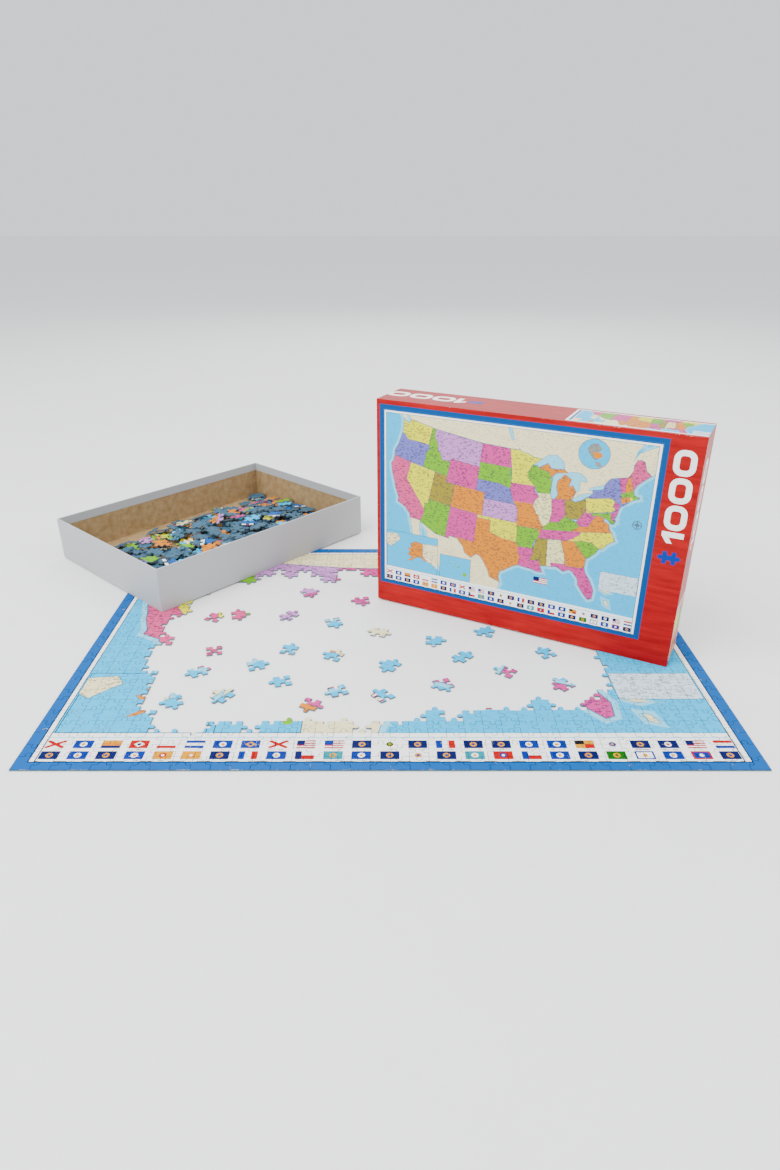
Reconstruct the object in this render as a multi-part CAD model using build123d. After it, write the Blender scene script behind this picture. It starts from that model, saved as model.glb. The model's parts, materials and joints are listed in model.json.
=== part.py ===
from build123d import *

import os
from dataclasses import dataclass
from math import atan2, cos, hypot, pi, radians, sin, sqrt
from random import Random

import numpy as np
from scipy.optimize import linprog

# A boxed jigsaw puzzle half way through being put together: 38 x 27 die-cut pieces, of which
# the frame is joined up, some lie loose in the middle and the rest are heaped in the tray.
# The lid stands on one long wall. All sizes are in millimetres.

# ---- driving dimensions: the puzzle ----
PUZZLE_LENGTH = 680.0
PUZZLE_WIDTH = 490.0
COLUMNS = 38
ROWS = 27
PIECE_THICKNESS = 1.9
KERF = 0.12                # gap that the cutting rule leaves between two joined pieces

# ---- the cut pattern, as shares of the shorter side of one piece ----
KNOB_RADIUS_SHARE = 0.152
KNOB_CENTRE_SHARE = 0.168  # knob centre to the side that it stands on
NECK_FILLET_SHARE = 0.050
CORNER_WANDER = 0.030      # how far a shared corner strays from the regular grid
KNOB_WANDER = 0.040        # how far a knob strays from the middle of its side
KNOB_SPREAD = 0.05         # how much knobs differ in size
CUT_SEED = 11

# ---- driving dimensions: the set-up box ----
LID_LENGTH = 356.0
LID_WIDTH = 254.0
LID_DEPTH = 60.0
TRAY_DEPTH = 58.0
BOARD = 1.4                # grey board of both halves
WRAP = 0.2                 # printed paper glued round the board
GLUE_GAP = 0.15            # glue line between board and wrap, where the corner stays lie
TURN_IN = 12.0             # wrap folded over the rim and down inside
STAY_WIDTH = 22.0          # paper tape bent round each corner, on each of its two walls
LID_CLEARANCE = 0.5        # lid wall to tray wall on each side when the box is shut
SEAT_GAP = 0.1             # a box half above the pieces that it stands on

# ---- where the box halves stand, corner in piece columns and rows, turn in degrees ----
LID_CORNER = (18.13, 18.40)
LID_TURN = -27.5
TRAY_CORNER = (3.30, 16.24)
TRAY_TURN = 47.6

# ---- the heap of pieces in the tray ----
HEAP_GAP = 0.15            # clearance that keeps heaped pieces from cutting into each other
HEAP_MARGIN = 1.2          # extra outline allowed for tilt when a piece is dropped
HEAP_GRID = 1.5            # spacing of the height samples
HEAP_CENTRE = (0.64, 0.36) # densest place, as shares of the tray floor
HEAP_SPREAD = (0.20, 0.20)
SCATTERED_SHARE = 0.14     # pieces strewn thinly over the floor beside the heap
SCATTERED_DEPTH = 0.85     # share of the floor's width over which they are strewn
STEEPEST = 0.55            # greatest slope at which a dropped piece comes to rest
STEEP_PENALTY = 20.0       # height that a too steep place counts for, per unit of slope
TRIES = 5
LAYERS = 6                 # the heap is kept as this many nodes, lowest pieces first
HEAP_SEED = 5

# ---- which pieces are joined: one character per piece, far row first, # joined, . not ----
PLAN = (
    "########################.......#######",
    "#########################.....########",
    "##########################...#########",
    "######################################",
    "##########.#.##..#######.#############",
    "#########.....#.....##.########.######",
    "######...............##########.#####.",
    "######................#############...",
    "#####...................###########...",
    "#####....................############.",
    "#####.....................############",
    "####........................##########",
    "####..........................########",
    "####............................######",
    "#####...........................######",
    "####............................######",
    "####............................######",
    "####............................######",
    "#####...........................######",
    "#####...........................######",
    "#####..........................#######",
    "#####......................#..########",
    "######...............#.###############",
    "######...##.#####.####################",
    "######################################",
    "######################################",
    "######################################",
)

# ---- pieces lying loose in the middle: home column and row, place in columns and rows, turn ----
LOOSE = (
    (13, 20, 13.1, 19.3, 28),
    (16, 19, 17.0, 18.1, 8),
    (5, 14, 7.0, 15.6, -24),
    (6, 12, 8.6, 16.0, 14),
    (12, 21, 12.1, 15.9, -38),
    (22, 6, 15.2, 14.95, 20),
    (12, 22, 18.3, 13.6, -15),
    (4, 15, 7.9, 11.3, 12),
    (6, 3, 12.6, 11.4, -12),
    (7, 4, 15.5, 10.7, -24),
    (19, 5, 10.8, 9.6, 18),
    (10, 7, 7.4, 8.9, 30),
    (18, 6, 19.0, 9.6, -32),
    (20, 4, 12.65, 7.9, 16),
    (8, 5, 6.7, 5.9, 20),
    (9, 4, 9.4, 6.4, -36),
    (13, 9, 14.5, 5.6, -22),
    (24, 6, 16.0, 6.9, 22),
    (25, 5, 18.6, 6.4, 40),
    (8, 3, 21.8, 12.6, -4),
    (27, 6, 25.3, 13.6, -20),
    (26, 6, 23.5, 10.6, -42),
    (28, 5, 28.8, 11.0, 24),
    (29, 8, 26.0, 8.9, 55),
    (28, 9, 22.15, 7.6, -68),
    (30, 7, 29.2, 7.55, 34),
)

# ---- sizes that follow ----
PITCH_X = PUZZLE_LENGTH / COLUMNS
PITCH_Y = PUZZLE_WIDTH / ROWS
PITCH = min(PITCH_X, PITCH_Y)
WALL = WRAP + GLUE_GAP + BOARD + WRAP
TRAY_LENGTH = LID_LENGTH - 2 * (WALL + LID_CLEARANCE)
TRAY_WIDTH = LID_WIDTH - 2 * (WALL + LID_CLEARANCE)
TABLE_TO_BOX = PIECE_THICKNESS + SEAT_GAP


# ---------------------------------------------------------------------------
# Cut pattern: corners shared by four pieces and knobs shared by two
# ---------------------------------------------------------------------------
@dataclass(frozen=True)
class Knob:
    """A knob on one shared side: +1 stands to the left of the side, -1 to the right."""

    side: int
    shift: float
    scale: float


def cut_corners(dice):
    """Corner points by (column, row), those inside the sheet moved a little."""
    corners = {}
    for column in range(COLUMNS + 1):
        for row in range(ROWS + 1):
            x, y = column * PITCH_X, row * PITCH_Y
            inside = 0 < column < COLUMNS and 0 < row < ROWS
            stray = CORNER_WANDER * PITCH * inside
            corners[column, row] = complex(x + dice.uniform(-stray, stray), y + dice.uniform(-stray, stray))
    return corners


def cut_knobs(dice):
    """Knobs by (direction, column, row) for every side that two pieces share."""
    sides = [("along", c, r) for c in range(COLUMNS) for r in range(1, ROWS)]
    sides += [("across", c, r) for c in range(1, COLUMNS) for r in range(ROWS)]
    knobs = {}
    for side in sides:
        shift = dice.uniform(-KNOB_WANDER, KNOB_WANDER) * PITCH
        knobs[side] = Knob(dice.choice((-1, 1)), shift, 1 + dice.uniform(-KNOB_SPREAD, KNOB_SPREAD))
    return knobs


dice = Random(CUT_SEED)
CORNERS = cut_corners(dice)
KNOBS = cut_knobs(dice)


def piece_sides(column, row):
    """The four sides of a piece, anticlockwise: (start, end, knob or None seen along that way)."""
    nodes = [CORNERS[column + i, row + j] for i, j in ((0, 0), (1, 0), (1, 1), (0, 1))]
    shared = (
        ("along", column, row),
        ("across", column + 1, row),
        ("along", column, row + 1),
        ("across", column, row),
    )
    sides = []
    for number, key in enumerate(shared):
        knob = KNOBS.get(key)
        if knob and number in (2, 3):
            knob = Knob(-knob.side, -knob.shift, knob.scale)
        sides.append((nodes[number], nodes[(number + 1) % 4], knob))
    return sides


def inset_corner(before, after):
    """Where two neighbouring sides meet once each shared one is moved in by half the kerf."""
    lines = []
    for start, end, knob in (before, after):
        direction = (end - start) / abs(end - start)
        lines.append((start + (KERF / 2 if knob else 0) * 1j * direction, direction))
    (p, d), (q, e) = lines
    cross = (d.conjugate() * e).imag
    return p + d * (((q - p).conjugate() * e).imag / cross)


def knob_points(knob):
    """Points of a knob's outline, from the middle of its side, as (along, outward) complex numbers.

    They are: side, neck arc middle, head start, head top, head end, neck arc middle, side. An
    outward knob is cut small and its hole large, each by half the kerf, about the same centres.
    """
    grow = KERF / 2 if knob.side > 0 else -KERF / 2
    head = KNOB_RADIUS_SHARE * PITCH * knob.scale
    height = KNOB_CENTRE_SHARE * PITCH
    fillet = NECK_FILLET_SHARE * PITCH
    reach = sqrt((head + fillet) ** 2 - (height - fillet) ** 2)
    meets = atan2(height - fillet, reach)
    neck = complex(-reach, fillet)
    middle = (meets - pi / 2) / 2
    left = [
        complex(-reach, grow),
        neck + (fillet - grow) * complex(cos(middle), sin(middle)),
        neck + (fillet - grow) * complex(cos(meets), sin(meets)),
    ]
    right = [-point.conjugate() for point in reversed(left)]
    return left + [complex(0, height + head + grow)] + right


def piece_outline(column, row):
    """Edges of one piece's outline, in the sheet's own plane."""
    sides = piece_sides(column, row)
    corners = [inset_corner(sides[number - 1], sides[number]) for number in range(4)]
    edges = []
    for number, (start, end, knob) in enumerate(sides):
        first, last = corners[number], corners[(number + 1) % 4]
        if knob is None:
            edges.append(line(first, last))
            continue
        along = (end - start) / abs(end - start)
        middle = (start + end) / 2 + knob.shift * along
        outward = 1j * knob.side
        points = [middle + along * (p.real + outward * p.imag) for p in knob_points(knob)]
        edges += [line(first, points[0])]
        edges += [arc(*points[k:k + 3]) for k in (0, 2, 4)]
        edges += [line(points[6], last)]
    return edges


def line(start, end):
    return Edge.make_line((start.real, start.imag), (end.real, end.imag))


def arc(start, middle, end):
    return Edge.make_three_point_arc(*((p.real, p.imag) for p in (start, middle, end)))


def cut_piece(column, row):
    """One piece where it belongs in the finished picture, lying on the table."""
    face = Face(Wire(piece_outline(column, row)))
    return Solid.extrude(face, Vector(0, 0, PIECE_THICKNESS))


def home(column, row):
    """Middle of a piece's place in the finished picture."""
    return (column + 0.5) * PITCH_X, (row + 0.5) * PITCH_Y


# ---------------------------------------------------------------------------
# Set-up box: one half, standing open side up on z = 0 with a corner at the origin
# ---------------------------------------------------------------------------
def block(x0, x1, y0, y1, z0, z1):
    return Solid.make_box(x1 - x0, y1 - y0, z1 - z0, Plane(origin=(x0, y0, z0)))


def box_half(length, width, depth):
    """Board panels, corner stays and wrap of one half of the box, by name."""
    outer = WRAP + GLUE_GAP            # outside of the wrap to outside of the board
    inner = outer + BOARD
    rim = depth - WRAP
    base = block(outer, length - outer, outer, width - outer, WRAP, WRAP + BOARD)
    floor = WRAP + BOARD
    long_walls = [
        block(outer, length - outer, y, y + BOARD, floor, rim)
        for y in (outer, width - inner)
    ]
    short_walls = [
        block(x, x + BOARD, inner, width - inner, floor, rim)
        for x in (outer, length - inner)
    ]
    wrap = block(0, length, 0, width, 0, depth)
    wrap -= block(WRAP, length - WRAP, WRAP, width - WRAP, WRAP, rim)
    wrap -= block(inner, length - inner, inner, width - inner, rim - 1, depth + 1)
    band = block(inner, length - inner, inner, width - inner, depth - TURN_IN, depth)
    hole = inner + WRAP
    band -= block(hole, length - hole, hole, width - hole, depth - TURN_IN - 1, depth + 1)
    wrap = (wrap + band).solid()
    return {
        "base_board": [base],
        "long_wall_boards": long_walls,
        "short_wall_boards": short_walls,
        "corner_stays": corner_stays(length, width, rim),
        "paper_wrap": [wrap],
    }


def corner_stays(length, width, rim):
    """Four strips of paper tape, each bent round an upright corner of the boards."""
    stays = []
    for x_side in (0, 1):
        for y_side in (0, 1):
            x = (WRAP, length - WRAP)[x_side]
            y = (WRAP, width - WRAP)[y_side]
            x_in, y_in = 1 - 2 * x_side, 1 - 2 * y_side
            leg = [
                block(*sorted((x, x + x_in * STAY_WIDTH)), *sorted((y, y + y_in * GLUE_GAP)), WRAP, rim),
                block(*sorted((x, x + x_in * GLUE_GAP)), *sorted((y, y + y_in * STAY_WIDTH)), WRAP, rim),
            ]
            stays.append((leg[0] + leg[1]).solid())
    return stays


# ---------------------------------------------------------------------------
# Heap: pieces dropped one by one on a sampled height map of the tray floor
# ---------------------------------------------------------------------------
def footprint(column, row, turn, margin):
    """Outline test of a piece about its middle, for points given as arrays, with a margin."""
    spots = []
    for number, (start, end, knob) in enumerate(piece_sides(column, row)):
        if knob and knob.side < 0:
            along = (end - start) / abs(end - start)
            out = (start + end) / 2 + along * (knob.shift - 1j * KNOB_CENTRE_SHARE * PITCH)
            spots.append(out - complex(*home(column, row)))
    body = complex(PITCH_X / 2, PITCH_Y / 2)
    radius = KNOB_RADIUS_SHARE * PITCH + margin

    def covers(x, y):
        flat = (x + 1j * y) * np.exp(-1j * turn)
        inside = (abs(flat.real) <= body.real + margin) & (abs(flat.imag) <= body.imag + margin)
        for spot in spots:
            inside |= abs(flat - spot) <= radius
        return inside

    return covers


def rest_plane(x, y, heights):
    """Lowest plane over the heights with its middle carried: (height, slope in x, slope in y)."""
    limits = -np.column_stack([np.ones_like(x), x, y])
    return linprog([1, 0, 0], A_ub=limits, b_ub=-heights, bounds=(None, None)).x


class TrayFloor:
    """Height map of the tray's inside, with its corner at the origin."""

    def __init__(self, length, width):
        self.size = (length, width)
        along, across = np.arange(0, length, HEAP_GRID), np.arange(0, width, HEAP_GRID)
        self.x, self.y = np.meshgrid(along, across, indexing="ij")
        self.height = np.zeros_like(self.x)

    def under(self, x, y, covers):
        """Indices of the samples that a piece at x, y would cover."""
        reach = PITCH_X + PITCH_Y
        i0, i1 = (int(max(0, value) / HEAP_GRID) for value in (x - reach, x + reach))
        j0, j1 = (int(max(0, value) / HEAP_GRID) for value in (y - reach, y + reach))
        near = covers(self.x[i0:i1, j0:j1] - x, self.y[i0:i1, j0:j1] - y)
        i, j = np.nonzero(near)
        return i + i0, j + j0

    def drop(self, column, row, dice):
        """Settle one piece in the lowest of a few places: (x, y, height, slopes, turn)."""
        turn = dice.uniform(0, 2 * pi)
        covers = footprint(column, row, turn, HEAP_MARGIN)
        wall = hypot(PITCH_X, PITCH_Y) / 2 + HEAP_MARGIN + KNOB_CENTRE_SHARE * PITCH
        places = []
        for _ in range(TRIES):
            x, y = self.place(dice, wall)
            cells = self.under(x, y, covers)
            rest = rest_plane(self.x[cells] - x, self.y[cells] - y, self.height[cells])
            steep = hypot(rest[1], rest[2])
            too_steep = steep > STEEPEST
            places.append((too_steep, rest[0] + STEEP_PENALTY * steep * too_steep, x, y, rest, cells))
        _, _, x, y, (height, slope_x, slope_y), cells = min(places, key=lambda place: place[:4])
        height += HEAP_GAP
        top = height + PIECE_THICKNESS * sqrt(1 + slope_x ** 2 + slope_y ** 2)
        over = top + slope_x * (self.x[cells] - x) + slope_y * (self.y[cells] - y)
        self.height[cells] = np.maximum(self.height[cells], over)
        return x, y, height, slope_x, slope_y, turn

    def place(self, dice, wall):
        """A place to drop a piece, kept a piece's radius from the walls."""
        length, width = self.size
        if dice.random() < SCATTERED_SHARE:
            x, y = dice.uniform(0, length), dice.uniform(0, SCATTERED_DEPTH * width)
        else:
            x = dice.gauss(HEAP_CENTRE[0] * length, HEAP_SPREAD[0] * length)
            y = dice.gauss(HEAP_CENTRE[1] * width, HEAP_SPREAD[1] * width)
        return min(max(x, wall), length - wall), min(max(y, wall), width - wall)


def heap_pieces(cells):
    """Solids of the heap, lowest first, in the frame of the tray's inside."""
    dice = Random(HEAP_SEED)
    inside = 2 * WALL
    floor = TrayFloor(TRAY_LENGTH - inside, TRAY_WIDTH - inside)
    order = sorted(cells, key=lambda cell: (on_border(*cell), dice.random()))
    settled = []
    for column, row in order:
        x, y, height, slope_x, slope_y, turn = floor.drop(column, row, dice)
        up = Vector(-slope_x, -slope_y, 1).normalized()
        ahead = Vector(cos(turn), sin(turn), slope_x * cos(turn) + slope_y * sin(turn)).normalized()
        seat = Plane(origin=(x, y, height), x_dir=ahead, z_dir=up).location
        solid = cut_piece(column, row).moved(seat * centred(column, row))
        settled.append((height, solid))
    settled.sort(key=lambda item: item[0])
    return [solid for _, solid in settled]


def on_side(column, row):
    return column in (0, COLUMNS - 1)


def on_end(column, row):
    return row in (0, ROWS - 1)


def on_border(column, row):
    return on_side(column, row) or on_end(column, row)


def centred(column, row):
    """Moves a piece from its home so that its middle is at the origin."""
    x, y = home(column, row)
    return Location((-x, -y, 0))


# ---------------------------------------------------------------------------
# The whole layout
# ---------------------------------------------------------------------------
def joined_cells():
    """Cells whose piece is joined into the puzzle."""
    return [
        (column, ROWS - 1 - number)
        for number, text in enumerate(PLAN)
        for column, mark in enumerate(text)
        if mark == "#"
    ]


def group_of(column, row):
    """Name of the node that holds a joined piece."""
    side, end = on_side(column, row), on_end(column, row)
    if side and end:
        return "corner_pieces"
    if end:
        return "near_edge_pieces" if row == 0 else "far_edge_pieces"
    if side:
        return "left_edge_pieces" if column == 0 else "right_edge_pieces"
    if row <= 2:
        return "flag_strip_left_pieces" if column < COLUMNS // 2 else "flag_strip_right_pieces"
    if row >= ROWS - 6:
        return "far_left_pieces" if column < COLUMNS // 2 else "far_right_pieces"
    if column < COLUMNS // 4:
        return "left_inner_pieces"
    if row > ROWS // 3:
        return "right_inner_pieces" if column >= COLUMNS - 6 else "under_lid_pieces"
    return "near_inner_pieces" if column < 3 * COLUMNS // 4 else "near_right_pieces"


def joined_pieces():
    """The joined part of the puzzle, as lists of solids by node."""
    nodes = {}
    for column, row in joined_cells():
        nodes.setdefault(group_of(column, row), []).append(cut_piece(column, row))
    return nodes


def loose_pieces():
    """Pieces lying free in the middle, one node each, named after their home cell."""
    nodes = {}
    for column, row, at_column, at_row, turn in LOOSE:
        place = Location((at_column * PITCH_X, at_row * PITCH_Y, 0), (0, 0, turn))
        solid = cut_piece(column, row).moved(place * centred(column, row))
        nodes[f"loose_piece_c{column:02d}_r{row:02d}"] = [solid]
    return nodes


def corner_at(corner, turn):
    """Location of a box half's corner, given in columns and rows, on top of the pieces."""
    return Location((corner[0] * PITCH_X, corner[1] * PITCH_Y, TABLE_TO_BOX), (0, 0, turn))


def tray():
    """The tray and the heap in it."""
    place = corner_at(TRAY_CORNER, TRAY_TURN)
    parts = box_half(TRAY_LENGTH, TRAY_WIDTH, TRAY_DEPTH)
    nodes = {f"tray_{name}": [solid.moved(place) for solid in solids] for name, solids in parts.items()}
    used = set(joined_cells()) | {entry[:2] for entry in LOOSE}
    rest = [(c, r) for c in range(COLUMNS) for r in range(ROWS) if (c, r) not in used]
    inside = Location((WALL, WALL, WRAP + BOARD))
    solids = [solid.moved(place * inside) for solid in heap_pieces(rest)]
    for layer in range(LAYERS):
        first, last = (len(solids) * k // LAYERS for k in (layer, layer + 1))
        nodes[f"heap_layer_{layer + 1}"] = solids[first:last]
    return nodes


def lid():
    """The lid, standing on a long wall with its printed face to the front."""
    stand = Location((0, 0, LID_WIDTH), (-90, 0, 0))
    place = corner_at(LID_CORNER, LID_TURN) * stand
    parts = box_half(LID_LENGTH, LID_WIDTH, LID_DEPTH)
    return {f"lid_{name}": [solid.moved(place) for solid in solids] for name, solids in parts.items()}


def main():
    nodes = {**joined_pieces(), **loose_pieces(), **tray(), **lid()}
    everything = Compound([solid for solids in nodes.values() for solid in solids]).bounding_box()
    middle = everything.center()
    origin = Location((-middle.X, -middle.Y, -everything.min.Z))
    os.makedirs("parts", exist_ok=True)
    for name, solids in nodes.items():
        moved = [solid.moved(origin) for solid in solids]
        shape = moved[0] if len(moved) == 1 else Compound(moved)
        export_step(shape, f"parts/{name}.step", write_pcurves=False)
    print(f"{len(nodes)} nodes, {sum(len(s) for s in nodes.values())} solids")
    print(f"puzzle middle is at {PUZZLE_LENGTH / 2 - middle.X:.3f}, {PUZZLE_WIDTH / 2 - middle.Y:.3f}")


main()
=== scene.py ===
"""Looks of a boxed jigsaw puzzle half way through being put together.

The joined part of the picture, the loose pieces, the heap in the tray and the two box halves are
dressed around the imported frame. The printed picture is drawn once, as a painter's list of plain
outlines on the finished sheet, and every piece's face is cut along the outlines that cross it.
"""

from __future__ import annotations

import json
import logging
import math
import random
from dataclasses import dataclass, field
from enum import Enum
from typing import Callable, Iterable, Sequence

import bmesh
import bpy
import numpy as np
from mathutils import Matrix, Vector
from mathutils.geometry import delaunay_2d_cdt

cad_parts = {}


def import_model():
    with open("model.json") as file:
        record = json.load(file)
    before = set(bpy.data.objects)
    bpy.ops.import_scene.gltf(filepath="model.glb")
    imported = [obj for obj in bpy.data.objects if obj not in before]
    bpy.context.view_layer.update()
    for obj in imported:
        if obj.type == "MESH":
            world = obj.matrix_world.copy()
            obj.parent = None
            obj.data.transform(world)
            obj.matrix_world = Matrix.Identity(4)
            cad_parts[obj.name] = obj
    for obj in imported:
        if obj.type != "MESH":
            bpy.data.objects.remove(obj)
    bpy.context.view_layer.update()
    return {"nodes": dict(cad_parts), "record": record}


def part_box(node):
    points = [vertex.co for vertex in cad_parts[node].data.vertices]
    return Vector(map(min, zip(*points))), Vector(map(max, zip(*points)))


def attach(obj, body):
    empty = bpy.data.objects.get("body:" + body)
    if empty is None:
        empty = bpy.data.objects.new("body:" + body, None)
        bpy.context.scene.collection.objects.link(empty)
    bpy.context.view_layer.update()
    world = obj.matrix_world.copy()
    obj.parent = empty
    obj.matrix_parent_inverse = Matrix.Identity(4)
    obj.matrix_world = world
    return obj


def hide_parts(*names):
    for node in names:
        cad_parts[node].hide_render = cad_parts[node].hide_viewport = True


LOG = logging.getLogger("puzzle")
MM = 0.001
SHEET_UNIT = 100.0
TINY = 1e-9
GREY_SHARES = (0.2126, 0.7152, 0.0722)
DARKEST_INK = 0.002
OUTLINE_STRAY = 0.025
LONG_SIDE = 2.0
PLANE_SLACK = 2e-5
UP = Vector((0, 0, 1))

Point = tuple[float, float]
Outline = tuple[Point, ...]
Box = tuple[float, float, float, float]
Cell = tuple[int, int]
Colour = tuple[float, float, float]
Triple = tuple[float, float, float]
Socket = bpy.types.NodeSocket
Sockets = dict[str, Socket]


def linear(red: int, green: int, blue: int) -> Colour:
    """Turn a colour on the usual 0 to 255 scale into scene-linear values.

    Args:
        red: Red share.
        green: Green share.
        blue: Blue share.

    Returns:
        The three linear values.
    """
    shares = (value / 255 for value in (red, green, blue))
    return tuple(s / 12.92 if s <= 0.04045 else ((s + 0.055) / 1.055) ** 2.4 for s in shares)


def ink(red: int, green: int, blue: int, strength: float = 1.85, depth: float = 0.74) -> Colour:
    """A printing ink: a colour drawn away from grey, as glossy inks look under soft light.

    Args:
        red: Red share from 0 to 255.
        green: Green share.
        blue: Blue share.
        strength: How far the colour is drawn away from its own grey.
        depth: Share of its brightest channel that is kept.

    Returns:
        The three linear values.
    """
    plain = linear(red, green, blue)
    grey = sum(share * value for share, value in zip(GREY_SHARES, plain))
    pure = [max(grey + strength * (value - grey), DARKEST_INK) for value in plain]
    return tuple(value * depth * max(plain) / max(pure) for value in pure)


INKS: dict[str, Colour] = {
    "frame_blue": ink(0, 140, 210, strength=2.1, depth=0.54),
    "lid_blue": ink(0, 104, 165, depth=0.62),
    "paper": linear(250, 250, 248),
    "hairline": ink(18, 44, 72, depth=0.6),
    "sea": ink(150, 211, 244, strength=2.2, depth=0.92),
    "shelf": ink(182, 226, 244, depth=0.92),
    "coast": ink(70, 150, 175),
    "neighbour": ink(246, 240, 214, depth=0.92),
    "state_line": ink(120, 100, 120),
    "yellow": ink(238, 236, 140, depth=0.86),
    "violet": ink(150, 150, 212),
    "pink": ink(232, 134, 166, depth=0.8),
    "rose": ink(227, 124, 174, depth=0.78),
    "green": ink(166, 200, 8, strength=2.2),
    "lilac": ink(221, 178, 226),
    "taupe": ink(170, 160, 116),
    "orange": ink(238, 174, 100, depth=0.8),
    "cream": ink(242, 238, 205, depth=0.9),
    "land_grey": ink(150, 155, 150),
    "compass": ink(110, 125, 135),
    "legend": ink(226, 238, 244, depth=0.92),
    "navy": ink(24, 36, 98),
    "royal": ink(22, 70, 160),
    "flag_red": ink(200, 30, 45),
    "gold": ink(240, 190, 40),
    "teal": ink(40, 160, 170),
    "leaf": ink(20, 110, 60),
    "black": ink(25, 25, 28),
    "lid_red": ink(190, 2, 22, strength=2.1, depth=0.58),
    "icon_blue": ink(28, 78, 168),
    "tray_grey": linear(170, 172, 174),
}


# ---------------------------------------------------------------------------
# The printed picture
# ---------------------------------------------------------------------------
@dataclass(frozen=True)
class Region:
    """One inked outline; later regions cover earlier ones.

    labels is how thickly small lettering-like specks lie on it, streaks how strong the lid's
    brushed streaks are.
    """

    ink: str
    outline: Outline
    labels: float = 0.0
    streaks: float = 0.0

    @property
    def box(self) -> Box:
        """Lowest x, lowest y, highest x and highest y."""
        xs, ys = zip(*self.outline)
        return min(xs), min(ys), max(xs), max(ys)


def rectangle(left: float, low: float, right: float, high: float) -> Outline:
    """Corners of an upright rectangle, anticlockwise."""
    return (left, low), (right, low), (right, high), (left, high)


def disc(x: float, y: float, radius: float, points: int = 24) -> Outline:
    """Points of a circle, anticlockwise."""
    turns = (2 * math.pi * k / points for k in range(points))
    return tuple((x + radius * math.cos(t), y + radius * math.sin(t)) for t in turns)


def rounded(left: float, low: float, right: float, high: float, radius: float, arc: int = 7) -> Outline:
    """Points of a rectangle with round corners, anticlockwise.

    Args:
        left: Lowest x.
        low: Lowest y.
        right: Highest x.
        high: Highest y.
        radius: Corner radius.
        arc: Points in each corner.

    Returns:
        The outline.
    """
    middles = (
        (right - radius, low + radius, -90),
        (right - radius, high - radius, 0),
        (left + radius, high - radius, 90),
        (left + radius, low + radius, 180),
    )
    points = []
    for x, y, start in middles:
        for k in range(arc):
            turn = math.radians(start + 90 * k / (arc - 1))
            points.append((x + radius * math.cos(turn), y + radius * math.sin(turn)))
    return tuple(points)


def turn_area(outline: Sequence[Point]) -> float:
    """Signed area of an outline, above zero when it runs anticlockwise."""
    following = list(outline[1:]) + [outline[0]]
    return sum(a[0] * b[1] - b[0] * a[1] for a, b in zip(outline, following)) / 2


def grown(outline: Sequence[Point], by: float, least: float = 0.5) -> Outline:
    """Turn an outline anticlockwise and move every side outwards, or inwards for a value below zero.

    Args:
        outline: Points, either way round.
        by: Distance to move.
        least: Lowest divisor at a sharp corner, so that it stays short.

    Returns:
        The new outline, anticlockwise.
    """
    points = list(outline) if turn_area(outline) > 0 else list(outline)[::-1]
    flat = np.array(points, float)
    ahead = np.roll(flat, -1, axis=0) - flat
    ahead /= np.maximum(np.linalg.norm(ahead, axis=1), TINY)[:, None]
    out = np.column_stack([ahead[:, 1], -ahead[:, 0]])
    before = np.roll(out, 1, axis=0)
    share = np.maximum(1 + (out * before).sum(axis=1), least)[:, None]
    return tuple(map(tuple, flat + by * (out + before) / share))


def clipped(outline: Sequence[Point], window: Box) -> list[Point]:
    """The part of an outline that lies inside an upright rectangle.

    Args:
        outline: Points of a closed outline.
        window: Lowest x, lowest y, highest x and highest y.

    Returns:
        The clipped outline, empty where nothing is left.
    """
    points = list(outline)
    for axis, limit, keep in ((0, window[0], 1), (1, window[1], 1), (0, window[2], -1), (1, window[3], -1)):
        result = []
        for before, point in zip([points[-1]] + points[:-1], points):
            inside = keep * (point[axis] - limit) >= 0
            if inside != (keep * (before[axis] - limit) >= 0):
                share = (limit - before[axis]) / (point[axis] - before[axis])
                result.append(tuple(b + share * (p - b) for b, p in zip(before, point)))
            if inside:
                result.append(point)
        points = result
        if len(points) < 3:
            return []
    return points


def windowed(regions: Sequence[Region], window: Box) -> list[Region]:
    """Regions cut down to an upright rectangle.

    Args:
        regions: Regions to cut.
        window: Lowest x, lowest y, highest x and highest y.

    Returns:
        The regions that reach into the rectangle, in their order.
    """
    kept = []
    for region in regions:
        outline = clipped(region.outline, window)
        if outline:
            kept.append(Region(region.ink, tuple(outline), region.labels))
    return kept


@dataclass(frozen=True)
class Projection:
    """Conic equal-area projection that lays the map on the sheet, in millimetres."""

    scale: float = 860.0
    middle_x: float = 357.5
    middle_y: float = 248.3
    middle_west: float = 95.27
    middle_north: float = 37.5
    first_parallel: float = 29.5
    second_parallel: float = 45.5

    def place(self, west: float, north: float) -> Point:
        """Where a place on the globe lies on the sheet.

        Args:
            west: Degrees west.
            north: Degrees north.

        Returns:
            The point in millimetres.
        """
        first, second = (math.radians(p) for p in (self.first_parallel, self.second_parallel))
        cone = (math.sin(first) + math.sin(second)) / 2
        base = math.cos(first) ** 2 + 2 * cone * math.sin(first)

        def reach(degrees: float) -> float:
            """Distance of a parallel from the cone's tip."""
            return math.sqrt(base - 2 * cone * math.sin(math.radians(degrees))) / cone

        turn = cone * math.radians(self.middle_west - west)
        x = self.middle_x + self.scale * reach(north) * math.sin(turn)
        return x, self.middle_y + self.scale * (reach(self.middle_north) - reach(north) * math.cos(turn))

    def outline(self, text: str) -> Outline:
        """Outline on the sheet of a text that lists degrees west and north in turn."""
        values = [float(word) for word in text.split()]
        return tuple(self.place(w, n) for w, n in zip(values[::2], values[1::2]))


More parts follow.
